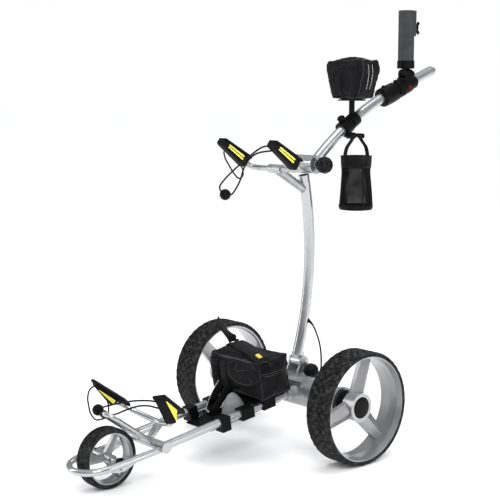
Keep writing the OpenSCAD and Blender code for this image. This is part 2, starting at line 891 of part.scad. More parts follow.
module umbrella_joint() {
    color(black) place() difference() {
        union() {
            bar_x(36, 54, 12, tilt_axis[0], tilt_axis[1]);
            translate([37, tilt_axis[0] - 9, tilt_axis[1]]) cube([16, 18, 18]);
            translate([handle_x, tilt_axis[0], tilt_axis[1] + 15]) cylinder(h = 22, r = umbrella_bore_r + umbrella_wall + 2);
        }
        translate([handle_x, tilt_axis[0], tilt_axis[1] + 18]) cylinder(h = 22, r = umbrella_bore_r + umbrella_wall);
        bar_x(20, 70, 4 + shaft_fit, tilt_axis[0], tilt_axis[1]);
    }
}

module umbrella_tube() {
    outer = umbrella_bore_r + umbrella_wall;
    color(grey) place() translate([handle_x, tilt_axis[0], umbrella_base]) difference() {
        union() {
            cylinder(h = umbrella_h + 4, r = outer);
            translate([0, 13, 90]) cylinder(h = umbrella_h - 86, r = outer - 3);
        }
        translate([0, 0, -1]) cylinder(h = umbrella_h + 6, r = umbrella_bore_r);
        translate([0, 0, 114]) rotate([-90, 0, 0]) cylinder(h = 60, r = 3.5 + shaft_fit);
    }
}

module umbrella_screw() {
    color(black) place() translate([handle_x, tilt_axis[0] + 20.5, umbrella_base + 114]) {
        rotate([-90, 0, 0]) cylinder(h = 22, r = 3.5);
        translate([0, 13.1, 0]) rotate([-90, 0, 0]) cylinder(h = 12, r = 7);
        for (s = [-1, 1]) translate([-2, 24, s*3]) rotate([-s*34, 0, 0]) translate([0, -4, s < 0 ? -16 : 0]) cube([4, 8, 16]);
    }
}

module tilt_lever() {
    color(black) place() translate([63 + gap, tilt_axis[0], tilt_axis[1]]) {
        rotate([0, 90, 0]) cylinder(h = 9, r = 8);
        translate([-37, 0, 0]) rotate([0, 90, 0]) cylinder(h = 40, r = 4);
        plate_yz(1, 8) polygon([[-4, -7], [-50, -3], [-54, 1], [-52, 7], [-40, 8], [-4, 7]]);
    }
}

module card_outline(grow) {
    polygon([[card_x[0] + 28 - grow, card_z[0] - grow], [card_x[1] - 22 + grow, card_z[0] - grow],
        [card_x[1] + grow, card_z[1] - 30], [card_x[1] - 6 + grow, card_z[1] + grow],
        [card_x[0] + 6 - grow, card_z[1] + grow], [card_x[0] - grow, card_z[1] - 24]]);
}

module scorecard_bag() {
    color(black) place() difference() {
        translate([0, card_y[1], 0]) rotate([90, 0, 0]) linear_extrude(height = card_y[1] - card_y[0]) card_outline(0);
        translate([0, card_y[1] - 4, 0]) rotate([90, 0, 0]) linear_extrude(height = card_y[1] - card_y[0] - 8)
            card_outline(-4);
    }
}

module scorecard_bracket() {
    color(black) place() difference() {
        union() {
            on_handle(193) translate([0, 0, -14]) cylinder(h = 28, r = handle_r + 6);
            translate([handle_x, 206, 905]) cylinder(h = card_z[0] - 905, r = 8);
            translate([handle_x - 30, 182, card_z[0] - 4]) cube([60, 48, 4]);
        }
        handle_shape(handle_r, 0);
    }
}

module cup_clamp() {
    color(black) place() difference() {
        union() {
            on_handle(158) translate([0, 0, -15]) cylinder(h = 30, r = handle_r + 8);
            bar_x(56, cup_c[0] + 24, 4, cup_c[1], cup_rod_z);
            bar_x(56, cup_c[0] - 9, 9, cup_c[1], cup_rod_z);
            bar_x(cup_c[0] + 9, cup_c[0] + 24, 7, cup_c[1], cup_rod_z);
        }
        handle_shape(handle_r, 0);
        on_handle(158) translate([0, -handle_r - 3, 0]) rotate([90, 0, 0]) cylinder(h = 30, r = 4 + shaft_fit);
    }
}

module cup_knob() {
    color(black) place() on_handle(158) translate([0, -handle_r - 4, 0]) rotate([90, 0, 0]) {
        cylinder(h = 12, r = 4);
        translate([0, 0, 5]) rotate_extrude() polygon([[0, 0], [8, 0], [11, 3], [11, 9], [8, 12], [0, 13]]);
    }
}

module cup_strap(angle) {
    rotate([angle, 0, 0]) translate([-7, -1.5, -70]) cube([14, 3, 66]);
}

module cup_holder() {
    color(black) place() {
        translate([cup_c[0], cup_c[1], cup_rim_z - cup_depth]) rotate_extrude($fn = 72) polygon([
            [0, 0], [cup_r + 2, 0], [cup_r + 5, 10], [cup_r - 2, cup_depth - 44], [cup_r, cup_depth],
            [cup_r - 3, cup_depth], [cup_r - 5, cup_depth - 44], [cup_r + 2, 10], [cup_r, 3], [0, 3]]);
        difference() {
            union() {
                bar_x(cup_c[0] - 7, cup_c[0] + 7, 7, cup_c[1], cup_rod_z);
                translate([cup_c[0], cup_c[1], cup_rod_z]) for (a = [-36, 36]) cup_strap(a);
            }
            bar_x(cup_c[0] - 10, cup_c[0] + 10, 4 + shaft_fit, cup_c[1], cup_rod_z);
            translate([cup_c[0], cup_c[1], cup_rim_z - cup_depth]) cylinder(h = cup_depth + 0.1, r = cup_r - 3);
        }
    }
}

side_rails();
front_crossbar();
front_loop();
front_axle();
base_rest_hoop();
base_rest_buffer();
lower_cradle();
lower_pads();
lower_pad_inserts();
lower_bungee();
lower_catch_loop();
lower_bungee_ball();
battery_tray();
rail_clips();
tray_guard();
battery();
battery_bag();
bag_straps();
axle_housing();
drive_motors();
controller();
hinge_bracket();
pivot_bolts();
lower_knob();
tyre_left();
rim_left();
hub_cap_left();
wheel_shaft_left();
tyre_right();
rim_right();
hub_cap_right();
wheel_shaft_right();
front_tyre();
front_rim();
upright_tube();
hinge_barrel();
upper_cradle();
upper_pads();
upper_pad_inserts();
upper_bungee();
upper_catch_loop();
upper_bungee_ball();
motor_cable();
cable_grommet();
upper_knob();
handle_tube();
handle_end_cap();
control_housing();
speed_dial();
power_button();
umbrella_clamp();
umbrella_joint();
umbrella_tube();
umbrella_screw();
tilt_lever();
scorecard_bag();
scorecard_bracket();
cup_clamp();
cup_knob();
cup_holder();
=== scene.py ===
import json
import math
import bmesh
import bpy
import numpy as np
from mathutils import Matrix, Vector, noise
from mathutils.bvhtree import BVHTree

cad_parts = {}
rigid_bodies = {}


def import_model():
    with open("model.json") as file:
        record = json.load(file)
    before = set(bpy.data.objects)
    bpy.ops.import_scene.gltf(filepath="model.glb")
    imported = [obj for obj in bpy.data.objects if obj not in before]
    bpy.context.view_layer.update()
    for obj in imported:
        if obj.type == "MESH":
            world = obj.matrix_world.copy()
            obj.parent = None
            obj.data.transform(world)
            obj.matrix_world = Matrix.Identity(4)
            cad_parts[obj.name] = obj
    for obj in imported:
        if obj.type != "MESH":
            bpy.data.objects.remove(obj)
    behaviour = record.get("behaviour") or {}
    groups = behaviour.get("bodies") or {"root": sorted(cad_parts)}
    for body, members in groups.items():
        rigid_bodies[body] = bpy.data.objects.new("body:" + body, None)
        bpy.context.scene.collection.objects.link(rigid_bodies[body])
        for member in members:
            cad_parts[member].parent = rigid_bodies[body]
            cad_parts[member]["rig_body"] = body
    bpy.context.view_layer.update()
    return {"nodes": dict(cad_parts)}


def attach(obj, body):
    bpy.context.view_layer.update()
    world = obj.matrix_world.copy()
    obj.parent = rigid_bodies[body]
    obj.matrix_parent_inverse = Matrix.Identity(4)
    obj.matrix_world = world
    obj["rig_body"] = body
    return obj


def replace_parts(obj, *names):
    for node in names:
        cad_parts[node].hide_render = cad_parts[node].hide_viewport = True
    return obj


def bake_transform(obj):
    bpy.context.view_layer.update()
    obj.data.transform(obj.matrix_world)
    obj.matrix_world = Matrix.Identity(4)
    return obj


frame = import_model()
nodes = frame["nodes"]
AXLE_Y = 0.076  # metres from the origin back to the rear axle

# driving sizes of the CAD model, in mm
REAR_R = 150
REAR_X = 270.5
FRONT_R = 76
WHEELBASE = 603


def P(x, y, z):
    """Millimetres measured from the ground under the rear axle, as metres in the object's frame."""
    return Vector((x / 1000, y / 1000 + AXLE_Y, z / 1000))


# ------------------------------------------------------------------ camera
cam_data = bpy.data.cameras.new("camera")
cam_data.lens = 83.3
cam_data.sensor_width = 36
cam = bpy.data.objects.new("camera", cam_data)
bpy.context.scene.collection.objects.link(cam)
cam.location = P(2291.2, -2157.0, 956.7)
cam.rotation_euler = Vector((-0.74289, 0.65613, -0.13270)).to_track_quat("-Z", "Y").to_euler()
bpy.context.scene.camera = cam


# ------------------------------------------------------------------ local frames, in mm
def turn_x(degrees):
    return Matrix.Rotation(math.radians(degrees), 4, "X")


def framed(matrix):
    """A function that takes mm in a local frame to metres in the object's frame."""
    return lambda x, y, z: P(*(matrix @ Vector((x, y, z))))


def turn_y(degrees):
    return Matrix.Rotation(math.radians(degrees), 4, "Y")


def turn_z(degrees):
    return Matrix.Rotation(math.radians(degrees), 4, "Z")


def facing_out(x, y, z, side=1):
    """A frame at a point in mm, its local Z pointing along +X, or along -X where side is -1."""
    return Matrix.Translation((x, y, z)) @ turn_y(90 * side)


# the frame rails, the upper cradle, and the two lower pads
R = framed(Matrix.Translation((0, 0, 164)) @ turn_x(8.38))
U = framed(Matrix.Translation((0, -40, 760)) @ turn_x(-33.8))
LEFT_PAD = framed(Matrix.Translation((99, -452, 185)) @ turn_x(-35) @ turn_z(20) @ turn_y(-27))
RIGHT_PAD = framed(Matrix.Translation((-95, -466, 173)) @ Matrix.Diagonal((-1, 1, 1, 1)) @ turn_x(-35)
                   @ turn_y(-16))


def smooth_route(points, n):
    """Catmull-Rom points through a route, n to a span."""
    q = [Vector(p) for p in points]
    out = []
    for i in range(len(q) - 1):
        a, b, c, d = q[max(i - 1, 0)], q[i], q[i + 1], q[min(i + 2, len(q) - 1)]
        for k in range(n):
            t = k / n
            out.append(0.5 * (2 * b + (c - a) * t + (2 * a - 5 * b + 4 * c - d) * t * t
                              + (3 * b - a - 3 * c + d) * t * t * t))
    return out + [q[-1]]


def length_of(points):
    return sum((b - a).length for a, b in zip(points, points[1:]))


# ------------------------------------------------------------------ mesh helpers
def link(name, me, material, body, smooth=True):
    o = bpy.data.objects.new(name, me)
    bpy.context.scene.collection.objects.link(o)
    if material is not None:
        me.materials.append(material)
    if smooth:
        for p in me.polygons:
            p.use_smooth = True
    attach(o, body)
    return o


def mesh(name, verts, faces, material, body, smooth=True):
    me = bpy.data.meshes.new(name)
    me.from_pydata([tuple(v) for v in verts], [], [tuple(f) for f in faces])
    me.validate()
    me.update()
    return link(name, me, material, body, smooth)


def sweep(name, points, section, up, material, body, closed=False):
    """A strip or tube along points: section is (side, up) pairs in metres, and up is the way it faces."""
    pts = [Vector(p) for p in points]
    n = len(pts)
    k = len(section)
    verts = []
    for i, p in enumerate(pts):
        if closed:
            t = (pts[(i + 1) % n] - pts[i - 1]).normalized()
        else:
            t = (pts[min(i + 1, n - 1)] - pts[max(i - 1, 0)]).normalized()
        u = Vector(up(i / max(n - 1, 1), p) if callable(up) else up)
        side = u.cross(t).normalized()
        v = t.cross(side)
        verts += [p + side * a + v * b for a, b in section]
    faces = []
    for i in range(n if closed else n - 1):
        j = (i + 1) % n
        for m in range(k):
            faces.append((i * k + m, i * k + (m + 1) % k, j * k + (m + 1) % k, j * k + m))
    if not closed:
        faces += [tuple(range(k - 1, -1, -1)), tuple(range((n - 1) * k, n * k))]
    return mesh(name, verts, faces, material, body)


def disc(r, sides):
    angles = [2 * math.pi * i / sides for i in range(sides)]
    return [(r * math.cos(a), r * math.sin(a)) for a in angles]


# ------------------------------------------------------------------ cords
CORDS = {
    "lower_bungee": ("chassis", 4.6, [
        (114, -522, 221), (102, -530, 224), (80, -537, 223), (40, -547, 216), (4, -556, 206),
        (-24, -570, 197), (-50, -589, 184), (-34, -572, 170), (-16, -562, 174), (4, -555, 184),
        (24, -545, 194), (48, -536, 203), (76, -530, 208), (98, -524, 207), (114, -516, 205)]),
    "lower_catch_loop": ("chassis", 4.2, [
        (-96, -560, 230), (-92, -578, 231), (-88, -592, 224), (-80, -602, 208), (-71, -605, 190),
        (-64, -605, 174), (-51, -600, 160), (-42, -588, 160), (-44, -572, 163), (-56, -557, 171),
        (-68, -548, 182), (-86, -540, 190)]),
    "upper_bungee": ("upright", 4.6, [
        (97, -146, 828), (78, -160, 824), (54, -170, 808), (22, -178, 784), (-12, -184, 759),
        (-42, -188, 734), (-60, -188, 714), (-62, -173, 696), (-46, -160, 694), (-22, -160, 716),
        (-2, -163, 741), (12, -168, 762), (34, -170, 788), (62, -163, 808), (96, -143, 815)]),
    "upper_catch_loop": ("upright", 4.2, [
        (-97, -142, 806), (-86, -146, 788), (-70, -148, 773), (-48, -150, 752), (-28, -149, 738),
        (-22, -140, 744), (-30, -132, 756), (-50, -118, 764), (-72, -104, 768), (-88, -94, 770)]),
}
cord_pieces = {}
for cord_name, (cord_body, cord_d, cord_route) in CORDS.items():
    line = smooth_route([P(*p) for p in cord_route], 6)
    cord_obj = sweep(cord_name + "_cord", line, disc(cord_d / 2000, 14), (0.2, 1, 0), None, cord_body)
    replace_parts(cord_obj, cord_name)
    tuple(line[0])
    length_of(line)
    [tuple(p) for p in line]
    cord_pieces[cord_name] = cord_obj


# ------------------------------------------------------------------ shader helpers
class Net:
    """A node material on one Principled shader, with short calls for the usual nodes."""

    def __init__(self, name, metallic=0.0, roughness=0.5, **sockets):
        self.mat = bpy.data.materials.new(name)
        self.mat.use_nodes = True
        self.t = self.mat.node_tree
        self.t.nodes.clear()
        self.out = self.t.nodes.new("ShaderNodeOutputMaterial")
        self.bsdf = self.t.nodes.new("ShaderNodeBsdfPrincipled")
        self.t.links.new(self.bsdf.outputs[0], self.out.inputs[0])
        self.bsdf.inputs["Metallic"].default_value = metallic
        self.bsdf.inputs["Roughness"].default_value = roughness
        for key, value in sockets.items():
            self.bsdf.inputs[key.replace("_", " ")].default_value = value
        self.co = self.t.nodes.new("ShaderNodeTexCoord").outputs["Object"]

    def add(self, kind, inputs=None, **props):
        n = self.t.nodes.new(kind)
        for key, value in props.items():
            setattr(n, key, value)
        for key, value in (inputs or {}).items():
            if isinstance(value, bpy.types.NodeSocket):
                self.t.links.new(value, n.inputs[key])
            else:
                n.inputs[key].default_value = value
        return n

    def mapped(self, scale):
        return self.add("ShaderNodeMapping", {"Vector": self.co, "Scale": scale}).outputs[0]

    def noise(self, scale, detail=3.0, rough=0.55, vec=None):
        return self.add("ShaderNodeTexNoise", {"Vector": vec or self.co, "Scale": scale, "Detail": detail,
                                               "Roughness": rough}).outputs["Fac"]

    def math(self, op, a, b=0.0):
        return self.add("ShaderNodeMath", {0: a, 1: b}, operation=op).outputs[0]

    def remap(self, value, lo, hi, to_lo, to_hi):
        return self.add("ShaderNodeMapRange", {"Value": value, "From Min": lo, "From Max": hi,
                                               "To Min": to_lo, "To Max": to_hi}).outputs[0]

    def mix(self, fac, a, b):
        def colour(c):
            return c if isinstance(c, bpy.types.NodeSocket) else (*c, 1.0)
        n = self.add("ShaderNodeMix", data_type="RGBA")
        for key, value in ((0, fac), (6, colour(a)), (7, colour(b))):
            if isinstance(value, bpy.types.NodeSocket):
                self.t.links.new(value, n.inputs[key])
            else:
                n.inputs[key].default_value = value
        return n.outputs[2]

    def bump(self, height, distance, strength=1.0, over=None):
        n = self.add("ShaderNodeBump", {"Height": height, "Distance": distance, "Strength": strength})
        if over is not None:
            self.t.links.new(over, n.inputs["Normal"])
        return n.outputs[0]

    def set(self, key, value):
        self.t.links.new(value, self.bsdf.inputs[key])


def metal_paint(name, light, dark, rough):
    n = Net(name, metallic=0.85, Coat_Weight=0.25, Coat_Roughness=0.15)
    patch = n.noise(9.0, 4)
    flake = n.noise(2600.0, 1)
    grime = n.noise(60.0, 6, 0.7)
    paint = n.mix(n.remap(flake, 0.3, 0.7, 0.0, 1.0), light, dark)
    n.set("Base Color", n.mix(n.remap(grime, 0.35, 0.75, 0.0, 0.15), paint, dark))
    n.set("Roughness", n.remap(patch, 0.3, 0.7, rough - 0.06, rough + 0.08))
    n.set("Normal", n.bump(flake, 0.000004, 0.3, n.bump(n.noise(320.0, 2), 0.000012, 0.2)))
    return n.mat


def cast_metal(name, light, dark):
    n = Net(name, metallic=0.8, Coat_Weight=0.15, Coat_Roughness=0.25)
    grain = n.noise(900.0, 3, 0.6)
    n.set("Base Color", n.mix(n.remap(n.noise(40.0, 5, 0.65), 0.3, 0.75, 0.0, 1.0), light, dark))
    n.set("Roughness", n.remap(grain, 0.3, 0.7, 0.30, 0.46))
    n.set("Normal", n.bump(grain, 0.00012, 0.45))
    return n.mat


def brushed(name, light, dark):
    n = Net(name, metallic=1.0)
    lines = n.noise(140.0, 3, 0.6, n.mapped((1, 40, 40)))
    n.set("Base Color", n.mix(n.remap(lines, 0.3, 0.7, 0.0, 1.0), light, dark))
    n.set("Roughness", n.remap(lines, 0.3, 0.7, 0.22, 0.40))
    n.set("Normal", n.bump(lines, 0.00005, 0.4))
    return n.mat


def plastic(name, light, dark, rough=0.42, grain=900.0, depth=0.00008):
    n = Net(name, Specular_IOR_Level=0.10)
    fine = n.noise(grain, 3, 0.6)
    n.set("Base Color", n.mix(n.remap(n.noise(25.0, 5, 0.6), 0.3, 0.75, 0.0, 1.0), light, dark))
    n.set("Roughness", n.remap(fine, 0.3, 0.7, rough - 0.06, rough + 0.1))
    n.set("Normal", n.bump(fine, depth, 0.5))
    return n.mat


def rubber(name, light, dark, rough=0.6):
    n = Net(name, Specular_IOR_Level=0.10)
    dust = n.noise(70.0, 6, 0.7)
    fine = n.noise(1500.0, 2)
    n.set("Base Color", n.mix(n.remap(dust, 0.45, 0.8, 0.0, 1.0), dark, light))
    n.set("Roughness", n.remap(dust, 0.3, 0.7, rough - 0.08, rough + 0.12))
    n.set("Normal", n.bump(fine, 0.00008, 0.5))
    return n.mat


def nylon(name, light, dark, pitch=0.0011, depth=0.00035):
    """Woven pack cloth: two crossing sets of yarns, each riding over the other in turn."""
    n = Net(name, roughness=0.62, Sheen_Weight=0.02, Sheen_Roughness=0.45, Specular_IOR_Level=0.07)
    k = 1.0 / pitch
    sep = n.add("ShaderNodeSeparateXYZ", {"Vector": n.mapped((k, k, k))})

    def yarns(position):
        return n.math("ABSOLUTE", n.math("SINE", n.math("MULTIPLY", position, math.pi)))

    across = yarns(n.math("ADD", sep.outputs[0], sep.outputs[1]))
    cross = n.math("MAXIMUM", across, yarns(sep.outputs[2]))
    lump = n.noise(160.0, 3)
    wear = n.remap(n.noise(45.0, 4), 0.3, 0.7, 0.3, 1.0)
    n.set("Base Color", n.mix(n.math("MULTIPLY", cross, wear), dark, light))
    n.set("Roughness", n.remap(cross, 0.4, 1.0, 0.78, 0.55))
    n.set("Normal", n.bump(cross, depth, 0.6, n.bump(lump, 0.0008, 0.35)))
    return n.mat


SILVER = metal_paint("silver_paint", (0.55, 0.555, 0.56), (0.39, 0.395, 0.40), 0.25)
CAST = cast_metal("silver_casting", (0.47, 0.475, 0.48), (0.30, 0.305, 0.31))
RIM = metal_paint("silver_rim", (0.47, 0.47, 0.475), (0.32, 0.32, 0.325), 0.34)
STEEL = brushed("plain_steel", (0.62, 0.63, 0.64), (0.40, 0.41, 0.42))
BLACK = plastic("black_plastic", (0.0040, 0.0040, 0.0044), (0.0014, 0.0014, 0.0016))
GLOSSY = plastic("gloss_plastic", (0.009, 0.009, 0.010), (0.0035, 0.0035, 0.004), 0.22, 500.0, 0.00003)
GUNMETAL = plastic("gunmetal", (0.052, 0.054, 0.057), (0.032, 0.033, 0.035), 0.34, 1400.0, 0.00005)
GREY = plastic("grey_plastic", (0.20, 0.205, 0.21), (0.12, 0.125, 0.13), 0.42)
RUBBER = rubber("black_rubber", (0.012, 0.012, 0.012), (0.0035, 0.0035, 0.004))
TYRE = rubber("tyre_rubber", (0.062, 0.062, 0.062), (0.0070, 0.0070, 0.0075), 0.58)
YELLOW = plastic("yellow_rubber", (0.86, 0.82, 0.16), (0.70, 0.64, 0.07), 0.42)
RED = plastic("red_plastic", (0.11, 0.012, 0.010), (0.06, 0.006, 0.006), 0.25)
BOARD = plastic("circuit_board", (0.05, 0.24, 0.12), (0.03, 0.16, 0.08), 0.35)
NYLON = nylon("black_nylon", (0.011, 0.011, 0.012), (0.0022, 0.0022, 0.0026))
WEB = nylon("black_webbing", (0.014, 0.014, 0.015), (0.0030, 0.0030, 0.0034), 0.0022, 0.0005)
THREAD = plastic("thread", (0.13, 0.13, 0.13), (0.07, 0.07, 0.07), 0.6)
WHITE_THREAD = plastic("white_thread", (0.80, 0.80, 0.79), (0.62, 0.62, 0.61), 0.6)
CORD_EDGE = plastic("piping", (0.032, 0.032, 0.034), (0.012, 0.012, 0.013), 0.36, 700.0, 0.0001)
PALE_EDGE = plastic("pale_binding", (0.42, 0.42, 0.42), (0.28, 0.28, 0.28), 0.45, 700.0, 0.0001)
BADGE = plastic("yellow_badge", (0.80, 0.66, 0.12), (0.45, 0.35, 0.05), 0.5, 500.0, 0.0002)
CABLE = rubber("cable_sheath", (0.016, 0.016, 0.016), (0.006, 0.006, 0.006), 0.4)
for piece in cord_pieces.values():
    piece.data.materials.append(CABLE)

ASSIGN = {
    SILVER: "side_rails front_crossbar front_loop base_rest_hoop lower_cradle upright_tube handle_tube "
            "handle_end_cap hinge_barrel",
    CAST: "axle_housing hinge_bracket upper_cradle",
    RIM: "rim_left rim_right front_rim",
    STEEL: "front_axle drive_motors pivot_bolts wheel_shaft_left wheel_shaft_right",
    TYRE: "tyre_left tyre_right front_tyre",
    RUBBER: "base_rest_buffer lower_pads upper_pads lower_bungee lower_catch_loop upper_bungee "
            "upper_catch_loop motor_cable cable_grommet",
    YELLOW: "lower_pad_inserts upper_pad_inserts",
    BLACK: "lower_bungee_ball upper_bungee_ball battery_tray rail_clips lower_knob upper_knob hub_cap_left "
           "hub_cap_right control_housing speed_dial umbrella_clamp umbrella_joint umbrella_screw tilt_lever "
           "scorecard_bracket cup_clamp cup_knob",
    GREY: "tray_guard",
    GUNMETAL: "umbrella_tube battery",
    RED: "power_button",
    NYLON: "battery_bag bag_straps scorecard_bag cup_holder",
    BOARD: "controller",
}
for material, names in ASSIGN.items():
    for name in names.split():
        o = nodes[name]
        o.data.materials.clear()
        o.data.materials.append(material)


# ------------------------------------------------------------------ tyres
def turned_tyre(name, node, body, centre, profile, tread, steps):
    """A tyre spun about X: profile is (radius, x) in mm, and tread(angle, x, radius) is a groove's depth."""
    verts = []
    n = len(profile)
    for i in range(steps):
        a = 2 * math.pi * i / steps
        for r, x in profile:
            q = r - tread(a, x, r)
            verts.append(P(centre[0] + x, centre[1] + q * math.sin(a), centre[2] + q * math.cos(a)))
    faces = []
    for i in range(steps):
        j = (i + 1) % steps
        for k in range(n):
            m = (k + 1) % n
            faces.append((i * n + k, i * n + m, j * n + m, j * n + k))
    o = mesh(name, verts, faces, TYRE, body, smooth=False)
    bm = bmesh.new()
    bm.from_mesh(o.data)
    bmesh.ops.recalc_face_normals(bm, faces=bm.faces)
    bm.to_mesh(o.data)
    bm.free()
    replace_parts(o, node)


def smoothstep(a, b, x):
    t = min(max((x - a) / (b - a), 0.0), 1.0)
    return t * t * (3 - 2 * t)


BLOCK = 22.0
BLOCKS_ROUND = 2 * math.pi * REAR_R / BLOCK
WHOLE = round(BLOCKS_ROUND) / BLOCKS_ROUND


def rear_tread(a, x, r):
    """Diamond blocks across the crown, a whole number of them round it, and edge lugs at each shoulder."""
    if r < REAR_R - 7:
        return 0.0
    u = a * WHOLE * REAR_R / BLOCK
    v = x / BLOCK
    side = abs(x)
    off_centre = max(abs((u + v) % 1.0 - 0.5), abs((u - v) % 1.0 - 0.5))
    groove = 1.0 - smoothstep(0.035, 0.10, 0.5 - off_centre)
    crown = 1.0 - smoothstep(29.0, 31.0, side)
    shoulder = smoothstep(31.0, 32.0, side) * (1.0 - smoothstep(37.0, 38.5, side))
    lug = (1.0 - smoothstep(0.30, 0.40, abs((u % 1.0) - 0.5))) * shoulder
    return 2.6 * groove * crown + 1.2 * lug


def front_tread(a, x, r):
    """Fine cross grooves with two running grooves."""
    if r < FRONT_R - 4:
        return 0.0
    u = a * FRONT_R / 9.0
    cross = 1.0 - smoothstep(0.06, 0.14, abs((u + abs(x) / 14.0) % 1.0 - 0.5))
    run = 1.0 - smoothstep(0.7, 1.3, abs(abs(x) - 6.5))
    return 1.1 * max(cross * (1.0 - smoothstep(16.0, 18.0, abs(x))), run)


def tyre_profile(outer, inner, half, crown_steps):
    """A round of (radius, x) pairs: up one wall, across the crown and down the other wall."""
    edge = [(inner, -half), (outer - 8, -half), (outer - 4, -half + 0.6), (outer - 1.6, -half + 2.5),
            (outer - 0.4, -half + 6)]
    crown = [(outer, float(x)) for x in np.linspace(-half + 8, half - 8, crown_steps)]
    return edge + crown + [(r, -x) for r, x in reversed(edge)]


for side, tag, wheel in ((1, "left", "wheel_l"), (-1, "right", "wheel_r")):
    turned_tyre("rear_tyre_" + tag, "tyre_" + tag, wheel, (side * REAR_X, 0, REAR_R),
                tyre_profile(REAR_R, 138, 39, 58), rear_tread, 900)
turned_tyre("front_tyre_tread", "front_tyre", "wheel_f", (0, -WHEELBASE, FRONT_R),
            tyre_profile(FRONT_R, 64.5, 22, 38), front_tread, 620)


# ------------------------------------------------------------------ soft shapes
def mesh_of(o):
    """Vertices and polygons of an object with its modifiers, as plain lists."""
    dg = bpy.context.evaluated_depsgraph_get()
    e = o.evaluated_get(dg)
    me = e.to_mesh()
    verts = [v.co.copy() for v in me.vertices]
    faces = [tuple(p.vertices) for p in me.polygons]
    e.to_mesh_clear()
    return verts, faces


def scratch(verts, faces):
    me = bpy.data.meshes.new("scratch")
    me.from_pydata([tuple(v) for v in verts], [], faces)
    me.update()
    o = bpy.data.objects.new("scratch", me)
    bpy.context.scene.collection.objects.link(o)
    return o


PRESSURE = 4.0
SIM_FRAMES = 20


def inflate(verts, faces, voxel, cap):
    """A closed shape remeshed and blown up as cloth, each point held within cap of where it began."""
    o = scratch(verts, faces)
    m = o.modifiers.new("remesh", "REMESH")
    m.mode = "VOXEL"
    m.voxel_size = voxel
    verts, faces = mesh_of(o)
    bpy.data.objects.remove(o)
    o = scratch(verts, faces)
    c = o.modifiers.new("cloth", "CLOTH")
    c.settings.use_pressure = True
    c.settings.uniform_pressure_force = PRESSURE
    c.settings.mass = 0.35
    c.settings.tension_stiffness = c.settings.compression_stiffness = 18
    c.settings.bending_stiffness = 0.8
    c.settings.effector_weights.gravity = 0.0
    scene = bpy.context.scene
    for f in range(1, SIM_FRAMES + 1):
        scene.frame_set(f)
    blown, _ = mesh_of(o)
    scene.frame_set(1)
    bpy.data.objects.remove(o)
    out = []
    for a, b in zip(verts, blown):
        d = b - a
        if d.length > cap:
            d *= cap / d.length
        out.append(a + d)
    return out, faces


def wrinkle(verts, faces, size, depth, seed):
    """Low creases pushed along each point's normal."""
    o = scratch(verts, faces)
    normals = [v.normal.copy() for v in o.data.vertices]
    bpy.data.objects.remove(o)
    out = []
    for v, n in zip(verts, normals):
        q = Vector((v.x / size + seed, v.y / size, v.z / (size * 1.8)))
        out.append(v + n * depth * (noise.fractal(q, 0.8, 2.0, 3) - 0.15))
    return out


def box_mesh(lo, hi, to_world):
    corners = [to_world(x, y, z) for x in (lo[0], hi[0]) for y in (lo[1], hi[1]) for z in (lo[2], hi[2])]
    faces = [(0, 1, 3, 2), (4, 6, 7, 5), (0, 4, 5, 1), (2, 3, 7, 6), (0, 2, 6, 4), (1, 5, 7, 3)]
    return corners, faces


def subsurf(o, levels=1):
    m = o.modifiers.new("subsurf", "SUBSURF")
    m.levels = m.render_levels = levels
    return o


def band(width, thick):
    """A webbing section with soft edges."""
    w, t, e = width / 2, thick / 2, thick * 0.6
    half = [(-w, -t * 0.3), (-w + e, -t), (w - e, -t), (w, -t * 0.3)]
    return half + [(x, -y) for x, y in reversed(half)]


def tree(verts, faces):
    return BVHTree.FromPolygons([tuple(v) for v in verts], faces)


def drop(bvh, p, d):
    """Where the ray from p along d meets the surface, or else the nearest place on it."""
    hit = bvh.ray_cast(p, d)[0]
    return hit if hit is not None else bvh.find_nearest(p)[0]


def snapped(bvh, points, lift):
    """Points carried to the nearest place on a surface, lifted off it."""
    out = []
    for p in points:
        at, normal, _, _ = bvh.find_nearest(p)
        out.append(at + normal * lift)
    return out


def patch(name, bvh, place, direction, thick, material, body, ns=26, nt=26, bulge=0.0):
    """A sewn-on panel: place(s, t) gives a point in front of the surface, thrown onto it along direction."""
    d = Vector(direction).normalized()
    ss = [0.0] + list(np.linspace(0.0, 1.0, ns)) + [1.0]
    ts = [0.0] + list(np.linspace(0.0, 1.0, nt)) + [1.0]
    verts = []
    for i, s in enumerate(ss):
        for j, t in enumerate(ts):
            q = place(s, t)
            hit = drop(bvh, q, d)
            edge = i in (0, len(ss) - 1) or j in (0, len(ts) - 1)
            swell = bulge * (max(0.0, 1 - (2 * s - 1) ** 4) * max(0.0, 1 - (2 * t - 1) ** 4)) ** 0.7
            verts.append(hit - d * (-0.0006 if edge else thick + swell))
    m = len(ts)
    faces = [(i * m + j, i * m + j + 1, (i + 1) * m + j + 1, (i + 1) * m + j)
             for i in range(len(ss) - 1) for j in range(m - 1)]
    return mesh(name, verts, faces, material, body)


